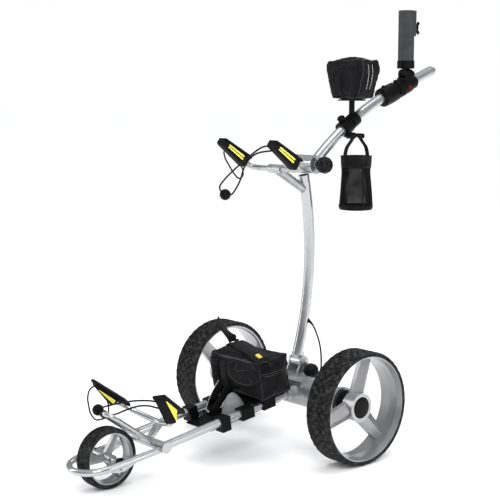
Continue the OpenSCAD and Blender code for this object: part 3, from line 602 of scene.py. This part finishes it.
def stitches(name, points, normal, pitch, length, material, body, thick=0.00035):
    """A run of short thread stitches along points that lie on a surface."""
    pts = [Vector(p) for p in points]
    total = length_of(pts)
    verts, faces = [], []
    at, i, base = 0.0, 0, 0.0
    n = Vector(normal).normalized()
    while at < total - length and i < len(pts) - 1:
        while i < len(pts) - 2 and base + (pts[i + 1] - pts[i]).length < at:
            base += (pts[i + 1] - pts[i]).length
            i += 1
        d = (pts[i + 1] - pts[i]).normalized()
        p = pts[i] + d * (at - base)
        side = n.cross(d).normalized()
        k = len(verts)
        for a, lift in ((0.0, 0.0), (0.25, 1.3), (0.75, 1.3), (1.0, 0.0)):
            c = p + d * length * a + n * thick * lift
            verts += [c + side * thick, c + n * thick * 0.8, c - side * thick]
        for q in range(3):
            for r in range(2):
                faces.append((k + q * 3 + r, k + q * 3 + r + 1, k + q * 3 + r + 4, k + q * 3 + r + 3))
        at += pitch
    return mesh(name, verts, faces, material, body)


def spun(name, profile, matrix, material, body, sides=64, lobes=0, lobe_depth=0.0):
    """A turned piece: profile is (radius, height) mm about the local Z of matrix; lobes flute it."""
    verts = []
    for r, h in profile:
        for i in range(sides):
            a = 2 * math.pi * i / sides
            q = r * (1 + lobe_depth * math.cos(lobes * a)) if lobes else r
            verts.append(P(*(matrix @ Vector((q * math.cos(a), q * math.sin(a), h)))))
    faces = []
    for k in range(len(profile) - 1):
        for i in range(sides):
            j = (i + 1) % sides
            faces.append((k * sides + i, k * sides + j, (k + 1) * sides + j, (k + 1) * sides + i))
    faces += [tuple(range(sides - 1, -1, -1)), tuple((len(profile) - 1) * sides + i for i in range(sides))]
    return mesh(name, verts, faces, material, body)


def layered(name, outline, half, radius, to_world, material, body, crown=0.0):
    """An outline in local Y-Z, 2*half thick along X, with rounded rims; crown swells its middle."""
    n = len(outline)
    area = sum(a[0] * b[1] - b[0] * a[1] for a, b in zip(outline, outline[1:] + outline[:1])) / 2
    sign = 1 if area > 0 else -1
    normals = []
    for i in range(n):
        a, b, c = (Vector(outline[(i + k) % n]) for k in (-1, 0, 1))
        e1, e2 = (b - a).normalized(), (c - b).normalized()
        m = Vector((e1.y + e2.y, -e1.x - e2.x)) * sign
        normals.append(m.normalized() if m.length > 1e-9 else Vector((e1.y, -e1.x)) * sign)
    steps, mids = 5, 4
    layers = []
    for k in range(steps + 1):
        a = math.pi / 2 * k / steps
        layers.append((-half + radius * (1 - math.cos(a)), radius * (1 - math.sin(a))))
    for k in range(1, mids):
        layers.append((-half + radius + (2 * half - 2 * radius) * k / mids, 0.0))
    layers += [(-x, inset) for x, inset in reversed(layers[:steps + 1])]
    verts = []
    for x, inset in layers:
        swell = crown * max(0.0, 1 - (x / half) ** 2)
        for (y, z), m in zip(outline, normals):
            verts.append(to_world(x, y - m.x * (inset - swell), z - m.y * (inset - swell)))
    faces = []
    for k in range(len(layers) - 1):
        for i in range(n):
            j = (i + 1) % n
            faces.append((k * n + i, k * n + j, (k + 1) * n + j, (k + 1) * n + i))
    faces += [tuple(range(n - 1, -1, -1)), tuple((len(layers) - 1) * n + i for i in range(n))]
    o = mesh(name, verts, faces, material, body)
    bm = bmesh.new()
    bm.from_mesh(o.data)
    bmesh.ops.triangulate(bm, faces=[f for f in bm.faces if len(f.verts) > 4])
    bmesh.ops.recalc_face_normals(bm, faces=bm.faces)
    bm.to_mesh(o.data)
    bm.free()
    for p in o.data.polygons:
        p.use_smooth = True
    return o


def rounded(points, radius, steps=5):
    """A polygon outline with its corners rounded."""
    n = len(points)
    out = []
    for i in range(n):
        a, b, c = (Vector(points[(i + k) % n]) for k in (-1, 0, 1))
        r = min(radius, (a - b).length * 0.45, (c - b).length * 0.45)
        p, q = b + (a - b).normalized() * r, b + (c - b).normalized() * r
        for k in range(steps + 1):
            t = k / steps
            out.append(tuple(p * (1 - t) ** 2 + b * 2 * t * (1 - t) + q * t ** 2))
    return out


# ------------------------------------------------------------------ battery bag
def bag_dir(x, y, z):
    """A direction in the rails' frame, as one in the object's frame."""
    return (R(x, y, z) - R(0, 0, 0)).normalized()


BAG_LO = (-104, -178, 17.5)
BAG_HI = (104, -68, 131)
BAG_INSET = 4.0
bag_v, bag_f = box_mesh((BAG_LO[0] + BAG_INSET, BAG_LO[1] + BAG_INSET, BAG_LO[2] + 0.5),
                        [c - BAG_INSET for c in BAG_HI], R)
bag_v, bag_f = inflate(bag_v, bag_f, 0.0052, 0.0075)
bag_v = wrinkle(bag_v, bag_f, 0.055, 0.0022, 3.1)
bag_shell = subsurf(mesh("battery_bag_shell", bag_v, bag_f, NYLON, "chassis"))
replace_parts(bag_shell, "battery_bag")
bag = tree(bag_v, bag_f)

# the ways things are thrown onto the bag, and the mm planes that they start from
front = bag_dir(0, 1, 0)
near = bag_dir(-1, 0, 0)
down = bag_dir(0, 0, -1)
AHEAD, BESIDE, ABOVE = -230, 170, 200


def on_front(bvh, places, lift):
    """Places thrown backwards onto a surface of the bag's front, lifted off it."""
    return [drop(bvh, q, front) - front * lift for q in places]


def bag_pipe(name, corners, radius=1.7):
    """Piping through corners in mm, carried to the bag's surface."""
    pts = []
    for a, b in zip(corners, corners[1:]):
        a, b = Vector(a), Vector(b)
        steps = max(2, int((b - a).length / 5))
        pts += [a.lerp(b, k / steps) for k in range(steps)]
    pts.append(Vector(corners[-1]))
    on_bag = snapped(bag, [R(*p) for p in pts], 0.0006)
    line = smooth_route(on_bag[::2] + [on_bag[-1]], 3)
    sweep(name, line, disc(radius / 1000, 8), (0.13, 0.21, 0.97), CORD_EDGE, "chassis")


x0, y0, z0 = BAG_LO[0], BAG_LO[1], 22
x1, y1, z1 = BAG_HI
bag_pipe("bag_piping_top", [(x0, y0, z1), (x1, y0, z1), (x1, y1, z1), (x0, y1, z1), (x0, y0, z1)])
for tag, x, y in (("near_front", x1, y0), ("near_rear", x1, y1), ("far_front", x0, y0), ("far_rear", x0, y1)):
    bag_pipe("bag_piping_" + tag, [(x, y, z1 - 2), (x, y, z0)])
foot = z0 + 3
foot_line = [(x1, y0, foot), (x1, y1, foot), (x0, y1, foot), (x0, y0, foot), (x1, y0, foot)]
bag_pipe("bag_piping_foot", foot_line, 1.4)

FLAP_X, FLAP_WIDE, FLAP_DEEP = -22, 122, 66


def flap_place(s, t):
    """s across the front flap and t down it, its lower edge rising at both ends."""
    return R(FLAP_X + FLAP_WIDE * s, AHEAD, 122 - FLAP_DEEP * (1 - 0.42 * abs(2 * s - 1) ** 3.2) * t)


def arch_place(s):
    return R(FLAP_X + FLAP_WIDE * s, AHEAD, 103 + 22 * (1 - abs(2 * s - 1) ** 2.4))


flap = patch("bag_front_flap", bag, flap_place, front, 0.0030, NYLON, "chassis", 34, 26, 0.0050)
flap_tree = tree(*mesh_of(flap))
for k, (shrink, r) in enumerate(((0.0, 1.5), (0.09, 0.9))):
    edge = on_front(flap_tree, [flap_place(0.03 + 0.94 * i / 40, 1.0 - shrink) for i in range(41)], 0.0006)
    edge = smooth_route(edge[::2], 2)
    sweep("bag_flap_piping_%d" % k, edge, disc(r / 1000, 8), front, CORD_EDGE, "chassis")
arch = on_front(flap_tree, [arch_place(i / 30) for i in range(31)], 0.0006)
sweep("bag_flap_arch", arch, disc(0.0011, 8), front, CORD_EDGE, "chassis")

pocket = patch("bag_far_pocket", bag, lambda s, t: R(-101 + 42 * s, AHEAD, 112 - 88 * t), front,
               0.0035, NYLON, "chassis", 18, 26, 0.0085)
patch("bag_mid_panel", bag, lambda s, t: R(-56 + 32 * s, AHEAD, 116 - 92 * t), front,
      0.0022, NYLON, "chassis", 12, 24, 0.003)
rim = on_front(tree(*mesh_of(pocket)), [R(-100 + 40 * i / 20, AHEAD, 110) for i in range(21)], 0.0008)
sweep("bag_pocket_rim", rim, disc(0.0022, 8), front, WEB, "chassis")

patch("bag_lid_front", bag, lambda s, t: R(-98 + 196 * s, AHEAD, 131 - 17 * t), front,
      0.0030, NYLON, "chassis", 40, 8)
patch("bag_lid_near", bag, lambda s, t: R(BESIDE, -174 + 102 * s, 130 - 20 * t), near,
      0.0024, NYLON, "chassis", 26, 8)
for tag, z in (("a", 92), ("b", 86)):
    seam = snapped(bag, [R(104, -170 + 96 * i / 30, z) for i in range(31)], 0.0004)
    stitches("bag_side_stitch_" + tag, seam, (1, 0, 0), 0.0042, 0.0028, THREAD, "chassis", 0.0005)


# strap across the top, with its tail standing up at the far side
def strap_line(k):
    """k from 0 at the far side to 1 at the near front corner, in mm over the bag's top."""
    return BAG_LO[0] + (BAG_HI[0] - BAG_LO[0]) * k, -92 - 64 * k


over = []
for i in range(33):
    x, y = strap_line(i / 32)
    over.append(drop(bag, R(x * 0.985, y, ABOVE), down) - down * 0.0022)
over_edge = []
for z in (124, 112):
    y = strap_line(1.0)[1] - (BAG_HI[2] - z) * 0.25
    over_edge.append(drop(bag, R(BESIDE, y, z), near) - near * 0.0030)
top_strap = sweep("bag_top_strap", smooth_route(over[::2] + over_edge, 3), band(0.046, 0.0024),
                  lambda t, p: -down - near * max(0.0, (t - 0.9) * 10), WEB, "chassis")
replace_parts(top_strap, "bag_straps")
TAIL = [(-82, -102, 283), (-90, -112, 284.5), (-92.5, -121, 291), (-92.5, -135, 306), (-91.5, -150, 323),
        (-90, -163, 338), (-89, -173, 350)]


def tail_up(t, p):
    """Which way the tail's flat side faces: up at first, and past its middle to the far side and the front."""
    k = min(1, t * 2)
    return Vector((-0.1 - 0.62 * k, -0.3 - 0.45 * k, 1.0 - 0.9 * k))


sweep("bag_strap_tail", smooth_route([P(*p) for p in TAIL], 5), band(0.032, 0.0026), tail_up, WEB, "chassis")
patch("bag_badge", tree(*mesh_of(top_strap)), lambda s, t: R(60 + 24 * s, -150 + 12 * t - 8 * s, ABOVE), down,
      0.0010, BADGE, "chassis", 12, 8)

# hanging loop in front, edged with a light cord
LOOP = [(-52, -180, 56), (-55, -192, 40), (-57, -208, 22), (-56, -224, 4), (-51, -237, -9), (-43, -242, -15),
        (-35, -237, -12), (-29, -224, 4), (-25, -208, 22), (-22, -193, 38), (-20, -180, 54)]
loop_line = smooth_route([R(*p) for p in LOOP], 6)
loop_centre = R(-39, -210, 20)
sweep("bag_hang_loop", loop_line, band(0.024, 0.0026), lambda t, p: p - loop_centre, WEB, "chassis")
loop_side = (R(-22, -193, 38) - R(-55, -192, 40)).cross(R(-43, -242, -15) - R(-39, -180, 54)).normalized()
if loop_side.y > 0:
    loop_side = -loop_side
binding = [p + loop_side * 0.0118 + (p - loop_centre).normalized() * 0.0014 for p in loop_line[3:34]]
sweep("bag_loop_binding", binding, disc(0.0011, 8), loop_side, PALE_EDGE, "chassis")


# ------------------------------------------------------------------ cradle pads
STRIP = rounded([(0, -9), (0, -3), (-4, 0), (-122, 0), (-127, -3), (-127, -8), (-122, -10)], 3)


def wedge(depth):
    return rounded([(-36, -8), (-120, -8), (-119, -13), (-54, -depth), (-46, -depth), (-38, -depth * 0.6)], 5)


def low_pad(tag, to_world, depth):
    """A thin strip on top of a wedge, with a yellow plate on each side of the wedge."""
    strip = layered("lower_pad_strip_" + tag, STRIP, 16, 2.5, to_world, RUBBER, "chassis")
    body_piece = layered("lower_pad_body_" + tag, wedge(depth), 13, 3.5, to_world, RUBBER, "chassis", 0.6)
    plate_line = rounded([(-46, -depth + 5), (-110, -14), (-106, -12.5), (-46, -14)], 3)
    for face, skin in (("in", -13.1), ("out", 13.1)):
        plate = layered("lower_pad_insert_%s_%s" % (tag, face), plate_line, 0.9, 0.4,
                        lambda x, y, z: to_world(x + skin, y, z), YELLOW, "chassis")
    return strip


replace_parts(low_pad("left", LEFT_PAD, 48), "lower_pads", "lower_pad_inserts")
low_pad("right", RIGHT_PAD, 30)

UP_BLOCK = rounded([(-2, 14), (-8, 17), (-104, 9), (-110, 5), (-110, -6), (-105, -9), (-8, -17),
                    (-2, -14)], 4)
UP_STRIP = rounded([(2, 12.5), (-106, 6.5), (-109, 9), (-106, 12), (-6, 20), (2, 18)], 2)


def up_pad(tag, side):
    """A block with a strip on top and two yellow stripes along each side."""
    def to_world(x, y, z):
        return U(side * 100 + x, -24 + y, z)
    block = layered("upper_pad_" + tag, UP_BLOCK, 13, 3.5, to_world, RUBBER, "upright", 0.5)
    strip = layered("upper_pad_strip_" + tag, UP_STRIP, 15, 2.0, to_world, RUBBER, "upright")
    for s in (-1, 1):
        for row, (a, b) in enumerate(((5.5, 1.2), (-1.2, -5.5))):
            line = rounded([(-24, a * 1.25), (-86, a * 0.9), (-88, b * 0.9), (-24, b * 1.25)], 2)
            layered("upper_pad_insert_%s_%d_%d" % (tag, s + 1, row), line, 0.9, 0.4,
                    lambda x, y, z: to_world(x + 13.2 * s, y, z), YELLOW, "upright")
    return block


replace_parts(up_pad("left", 1), "upper_pads", "upper_pad_inserts")
up_pad("right", -1)


# ------------------------------------------------------------------ motor cable
CABLE_ROUTE = [(12, 72, 333), (26, 76, 322), (40, 77, 302), (54, 75, 278), (66, 70, 254), (74, 64, 230),
               (79, 58, 208), (80, 48, 192), (78, 38, 182)]
cable_line = smooth_route([P(*p) for p in CABLE_ROUTE], 7)
cable = sweep("motor_cable_lead", cable_line, disc(0.0025, 14), (0.3, 1, 0), CABLE, "chassis")
# the cable is taken off its body and rides none
cable.parent = None
del cable["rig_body"]
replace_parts(cable, "motor_cable")
tuple(cable_line[0])
length_of(cable_line)
[tuple(p) for p in cable_line]
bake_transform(cable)

SLEEVE = ((-2, 5.2), (0, 5.2), (5, 4.6), (10, 3.9), (15, 3.2), (19, 2.8))
SLEEVE_SIDES = 16


def cable_sleeve(name, at, towards, body):
    """A tapered sleeve over a cable's end. SLEEVE holds its rings, as mm along the cable and a radius."""
    along = (towards - at).normalized()
    side = along.cross(Vector((0, 1, 0.2))).normalized()
    up = along.cross(side)
    n = SLEEVE_SIDES
    verts = []
    for out, r in SLEEVE:
        for i in range(n):
            a = 2 * math.pi * i / n
            verts.append(at + along * 0.001 * out + (side * math.cos(a) + up * math.sin(a)) * r / 1000)
    faces = [(k * n + i, k * n + (i + 1) % n, (k + 1) * n + (i + 1) % n, (k + 1) * n + i)
             for k in range(len(SLEEVE) - 1) for i in range(n)]
    faces += [tuple(range(n - 1, -1, -1)), tuple((len(SLEEVE) - 1) * n + i for i in range(n))]
    mesh(name, verts, faces, RUBBER, body)


cable_sleeve("cable_sleeve_upper", cable_line[0], cable_line[6], "upright")
cable_sleeve("cable_sleeve_lower", cable_line[-1], cable_line[-7], "chassis")


# ------------------------------------------------------------------ knobs
def ball_profile(r, stem):
    """A collar with a ball of radius r on it, flat and dished at the end."""
    pts = [(9, -0.2), (9.4, stem * 0.5), (9, stem + 1)]
    c = stem + r * 0.82
    for i in range(1, 15):
        a = math.radians(-62 + 10.4 * i)
        pts.append((r * math.cos(a), c + r * math.sin(a)))
    pts += [(r * 0.42, c + r * 0.86), (r * 0.30, c + r * 0.78), (0.6, c + r * 0.76)]
    return pts


SCREW = [(0.5, -46), (4.0, -46), (4.6, -45.2), (4.6, -2), (9.5, -2), (9.5, 0.4), (0.5, 0.4)]
KNOBS = (("lower_knob", 21, 6, (24.3, 52, 197), "hinge_knob"),
         ("upper_knob", 23, 10, (59.3, 56, 770), "handle_knob"))
balls = [spun(node + "_ball", ball_profile(r, stem), facing_out(*at), GLOSSY, body, 96, 12, 0.028)
         for node, r, stem, at, body in KNOBS]
for ball, (node, _, _, at, body) in zip(balls, KNOBS):
    screw = spun(node + "_screw", SCREW, facing_out(*at), STEEL, body, 32)
    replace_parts(ball, node)


# ------------------------------------------------------------------ clutch drums inside the rear wheels
DRUM_IN, DRUM_OUT, DRUM_R = 227, 249, 36
WIDE = DRUM_OUT - DRUM_IN
DRUM = [(0.5, 0), (DRUM_R - 2, 0), (DRUM_R, 2), (DRUM_R, 8), (DRUM_R - 2.5, 9), (DRUM_R - 2.5, 13),
        (DRUM_R, 14), (DRUM_R, WIDE - 3), (DRUM_R - 2, WIDE), (0.5, WIDE)]
BOLT = [(0.3, 0), (3.2, 0), (3.2, 1.9), (2.7, 2.5), (0.3, 2.5)]
BOLT_CIRCLE = 30.5
for side, tag, body in ((1, "left", "wheel_l"), (-1, "right", "wheel_r")):
    spun("clutch_drum_" + tag, DRUM, facing_out(side * DRUM_IN, 0, REAR_R, side), BLACK, body, 72)
    for k in range(6):
        a = math.radians(60 * k + 18)
        y, z = BOLT_CIRCLE * math.sin(a), REAR_R + BOLT_CIRCLE * math.cos(a)
        bolt_at = facing_out(side * (DRUM_OUT - 0.2), y, z, side)
        spun("clutch_bolt_%s_%d" % (tag, k), BOLT, bolt_at, STEEL, body, 6)


# ------------------------------------------------------------------ front hub nuts
HUB_NUT = [(0.5, 0), (12.5, 0), (12.5, 3.0), (11.5, 4.2), (8.0, 4.6), (7.6, 7.4), (6.6, 8.2), (0.5, 8.4)]
for side, tag in ((1, "left"), (-1, "right")):
    nut_at = facing_out(side * 56.2, -WHEELBASE, FRONT_R, side)
    spun("front_hub_nut_" + tag, HUB_NUT, nut_at, BLACK, "chassis", 40)


# ------------------------------------------------------------------ cup holder
CUP = (90, 178)
RIM_Z, DEPTH, CUP_R = 790, 148, 42
CLAMP_Z = 846


def cup_point(r, a, h):
    """The point at radius r and angle a round the cup, h above its base."""
    return P(CUP[0] + r * math.cos(a), CUP[1] + r * math.sin(a), RIM_Z - DEPTH + h)


def cup_radius(h):
    """Outer radius of the net body at height h above its base."""
    corners = [(0, CUP_R + 2), (10, CUP_R + 5), (DEPTH - 44, CUP_R - 2), (DEPTH, CUP_R)]
    for (h0, r0), (h1, r1) in zip(corners, corners[1:]):
        if h <= h1:
            t = (h - h0) / (h1 - h0)
            return r0 + (r1 - r0) * t
    return CUP_R


NET_COLS, NET_ROWS = 76, 33
NET_FOOT, NET_TOP = 8, DEPTH - 30
verts, faces = [], []
for j in range(NET_ROWS + 1):
    h = NET_FOOT + (NET_TOP - NET_FOOT) * j / NET_ROWS
    for i in range(NET_COLS):
        a = 2 * math.pi * (i + 0.5 * (j % 2)) / NET_COLS
        verts.append(cup_point(cup_radius(h) - 1.4 + 0.8 * math.sin(3 * a) * math.sin(h / 26), a, h))
for j in range(NET_ROWS):
    for i in range(NET_COLS):
        o0, o1 = j * NET_COLS, (j + 1) * NET_COLS
        nxt = (i + 1) % NET_COLS
        if j % 2 == 0:
            faces += [(o0 + i, o0 + nxt, o1 + i), (o0 + nxt, o1 + nxt, o1 + i)]
        else:
            faces += [(o0 + i, o0 + nxt, o1 + nxt), (o0 + i, o1 + nxt, o1 + i)]
net = mesh("cup_net", verts, faces, WEB, "cup", smooth=False)
wire = net.modifiers.new("strands", "WIREFRAME")
wire.thickness = 0.0022
wire.use_even_offset = False
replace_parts(net, "cup_holder")


def cup_ring(name, h0, h1, out, inn, material, steps=7):
    """A band round the cup from h0 to h1, bulged outside: out beyond the net's radius, inn within it."""
    heights = [h0 + (h1 - h0) * k / steps for k in range(steps + 1)]
    section = [(cup_radius(h) + out + 0.7 * math.sin(math.pi * k / steps), h) for k, h in enumerate(heights)]
    section += [(cup_radius(h) - inn, h) for h in reversed(heights)]
    sides, n = 96, len(section)
    verts = [cup_point(r, 2 * math.pi * i / sides, h) for r, h in section for i in range(sides)]
    faces = []
    for k in range(n):
        for i in range(sides):
            above, j = (k + 1) % n, (i + 1) % sides
            faces.append((k * sides + i, k * sides + j, above * sides + j, above * sides + i))
    return mesh(name, verts, faces, material, "cup")


cup_ring("cup_rim_band", DEPTH - 32, DEPTH, 0.4, 2.6, NYLON)
cup_ring("cup_rim_binding", DEPTH - 3, DEPTH + 1.5, 1.0, 3.4, WEB, 4)
cup_ring("cup_base_band", 1, 14, 0.2, 2.4, NYLON)
CUP_BASE = [(0.5, 0.2), (CUP_R - 4, 0), (CUP_R + 1.5, 0.8), (CUP_R + 1.5, 3.2), (CUP_R - 3, 2.8), (0.5, 2.6)]
spun("cup_base", CUP_BASE, Matrix.Translation((*CUP, RIM_Z - DEPTH)), NYLON, "cup", 72)
for k, seam_a in enumerate((-1.9, -0.35)):
    heights = [4 + (DEPTH - 8) * i / 29 for i in range(30)]
    line = [cup_point(cup_radius(h) + 0.6, seam_a, h) for h in heights]
    sweep("cup_seam_%d" % k, line, band(0.006, 0.0016), (math.cos(seam_a), math.sin(seam_a), 0), WEB, "cup")
for k, h in enumerate((DEPTH - 5, DEPTH - 29)):
    ring = [cup_point(cup_radius(h) + 1.3, 2 * math.pi * i / 120, h) for i in range(121)]
    stitches("cup_rim_stitch_%d" % k, ring, (0, 0, 1), 0.0040, 0.0026, THREAD, "cup", 0.0004)
STRAP_ROUTE = [(3, CLAMP_Z + 6), (9, CLAMP_Z + 1), (22, CLAMP_Z - 15), (38, CLAMP_Z - 32), (44.5, RIM_Z + 2),
               (43.0, RIM_Z - 14), (42.6, RIM_Z - 30)]
for k, s in enumerate((-1, 1)):
    line = smooth_route([P(CUP[0], CUP[1] + s * out, z) for out, z in STRAP_ROUTE], 5)
    sweep("cup_strap_%d" % k, line, band(0.014, 0.002), (0, s * 0.8, 0.6), WEB, "cup")


# ------------------------------------------------------------------ scorecard bag
CARD_X, CARD_Y, CARD_Z = (-30, 120), (168, 243), (945, 1055)
card_outline = rounded([(CARD_X[0] + 28, CARD_Z[0]), (CARD_X[1] - 22, CARD_Z[0]),
                        (CARD_X[1], CARD_Z[1] - 30), (CARD_X[1] - 6, CARD_Z[1]),
                        (CARD_X[0] + 6, CARD_Z[1]), (CARD_X[0], CARD_Z[1] - 24)], 9, 4)
n_out = len(card_outline)
card_v = [P(x * 0.97 + 1.5, y, (z - 1000) * 0.96 + 1000)
          for y in (CARD_Y[0] + 5, CARD_Y[1] - 5) for x, z in card_outline]
card_f = [tuple(range(n_out)), tuple(range(2 * n_out - 1, n_out - 1, -1))]
card_f += [(i, (i + 1) % n_out, n_out + (i + 1) % n_out, n_out + i) for i in range(n_out)]
card_v, card_f = inflate(card_v, card_f, 0.0048, 0.007)
card_v = wrinkle(card_v, card_f, 0.045, 0.0030, 7.7)
card_shell = subsurf(mesh("scorecard_bag_shell", card_v, card_f, NYLON, "handle"))
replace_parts(card_shell, "scorecard_bag")
card = tree(card_v, card_f)
for k, y in enumerate((CARD_Y[0] + 6, CARD_Y[1] - 6)):
    loop = [P(x, y, z) for x, z in card_outline]
    dense = []
    for a, b in zip(loop, loop[1:] + loop[:1]):
        steps = max(1, int((b - a).length / 0.006))
        dense += [a.lerp(b, q / steps) for q in range(steps)]
    sweep("card_piping_%d" % k, snapped(card, dense, 0.0005), disc(0.0017, 8), (0, 1, 0), CORD_EDGE, "handle",
          closed=True)
zip_y = (CARD_Y[0] + CARD_Y[1]) / 2 - 6
zip_line = snapped(card, [P(-20 + 132 * i / 40, zip_y, CARD_Z[1] + 2) for i in range(41)], 0.0008)
sweep("card_zip", zip_line, band(0.007, 0.0018), (0, 0, 1), GLOSSY, "handle")
for k, y in enumerate((196, 210)):
    line = snapped(card, [P(CARD_X[1] + 4, y, 1040 - 74 * i / 24) for i in range(25)], 0.0007)
    stitches("card_stitch_%d" % k, line, (1, 0, 0), 0.0040, 0.0031, WHITE_THREAD, "handle", 0.0006)
for k, x in enumerate((40, 92)):
    angles = [math.radians(150 - 12 * i) for i in range(13)]
    arc = [P(x + 9 * math.cos(a), CARD_Y[0] - 6, 1024 + 11 * math.sin(a)) for a in angles]
    sweep("card_clip_%d" % k, snapped(card, arc, 0.0016), disc(0.0021, 10), (0, 1, 0), GLOSSY, "handle")
patch("card_front_pocket", card, lambda s, t: P(-18 + 62 * s, CARD_Y[0] - 30, 1016 - 62 * t), (0, 1, 0),
      0.0018, NYLON, "handle", 20, 20, 0.004)


# ------------------------------------------------------------------ stage and light
floor_me = bpy.data.meshes.new("floor")
floor_me.from_pydata([(-60, -60, 0), (60, -60, 0), (60, 60, 0), (-60, 60, 0)], [], [(0, 1, 2, 3)])
floor = bpy.data.objects.new("floor", floor_me)
bpy.context.scene.collection.objects.link(floor)
fn = Net("floor_pale", roughness=1.0, Specular_IOR_Level=0.0)
fn.set("Base Color", fn.mix(fn.noise(2.0, 3), (0.96, 0.96, 0.96), (0.945, 0.945, 0.945)))
floor_me.materials.append(fn.mat)


def area(name, at, aim, size, power):
    d = bpy.data.lights.new(name, "AREA")
    d.shape = "RECTANGLE"
    d.size, d.size_y = size
    d.energy = power
    o = bpy.data.objects.new(name, d)
    bpy.context.scene.collection.objects.link(o)
    o.location = at
    o.rotation_euler = (Vector(aim) - Vector(at)).to_track_quat("-Z", "Y").to_euler()


area("key", (2.6, -2.2, 3.0), (0, 0, 0.6), (1.3, 1.3), 62)
area("fill", (3.4, 1.4, 1.4), (0, 0, 0.6), (0.8, 2.4), 22)
area("left", (-2.4, -2.4, 1.5), (0, 0, 0.5), (0.7, 2.4), 26)
area("rear", (-1.2, 3.2, 2.6), (0, 0, 0.7), (1.6, 1.2), 30)
area("top", (0.2, 0.2, 3.8), (0, 0, 0), (1.6, 2.4), 34)

world = bpy.data.worlds.new("studio")
bpy.context.scene.world = world
world.use_nodes = True
wt = world.node_tree
wt.nodes.clear()


def background(colour, strength):
    n = wt.nodes.new("ShaderNodeBackground")
    n.inputs[0].default_value = (*colour, 1.0)
    n.inputs[1].default_value = strength
    return n


def world_mix(fac, a, b):
    n = wt.nodes.new("ShaderNodeMixShader")
    for key, socket in enumerate((fac, a, b)):
        wt.links.new(socket, n.inputs[key])
    return n.outputs[0]


w_path = wt.nodes.new("ShaderNodeLightPath")
w_soft = background((0.98, 0.985, 1.0), 1.07)
w_gloss = background((0.5, 0.5, 0.5), 1.0)
w_co = wt.nodes.new("ShaderNodeTexCoord")
w_sep = wt.nodes.new("ShaderNodeSeparateXYZ")
wt.links.new(w_co.outputs["Generated"], w_sep.inputs[0])
w_ramp = wt.nodes.new("ShaderNodeValToRGB")
w_ramp.color_ramp.elements[0].position = 0.0
w_ramp.color_ramp.elements[0].color = (0.05, 0.05, 0.055, 1.0)
w_ramp.color_ramp.elements[1].position = 0.75
w_ramp.color_ramp.elements[1].color = (0.52, 0.53, 0.55, 1.0)
wt.links.new(w_sep.outputs[2], w_ramp.inputs[0])
wt.links.new(w_ramp.outputs[0], w_gloss.inputs[0])
w_seen = background((1.0, 1.0, 1.0), 1.0)
w_light = world_mix(w_path.outputs["Is Glossy Ray"], w_soft.outputs[0], w_gloss.outputs[0])
w_all = world_mix(w_path.outputs["Is Camera Ray"], w_light, w_seen.outputs[0])
w_out = wt.nodes.new("ShaderNodeOutputWorld")
wt.links.new(w_all, w_out.inputs[0])
bpy.context.scene.view_settings.view_transform = "Standard"
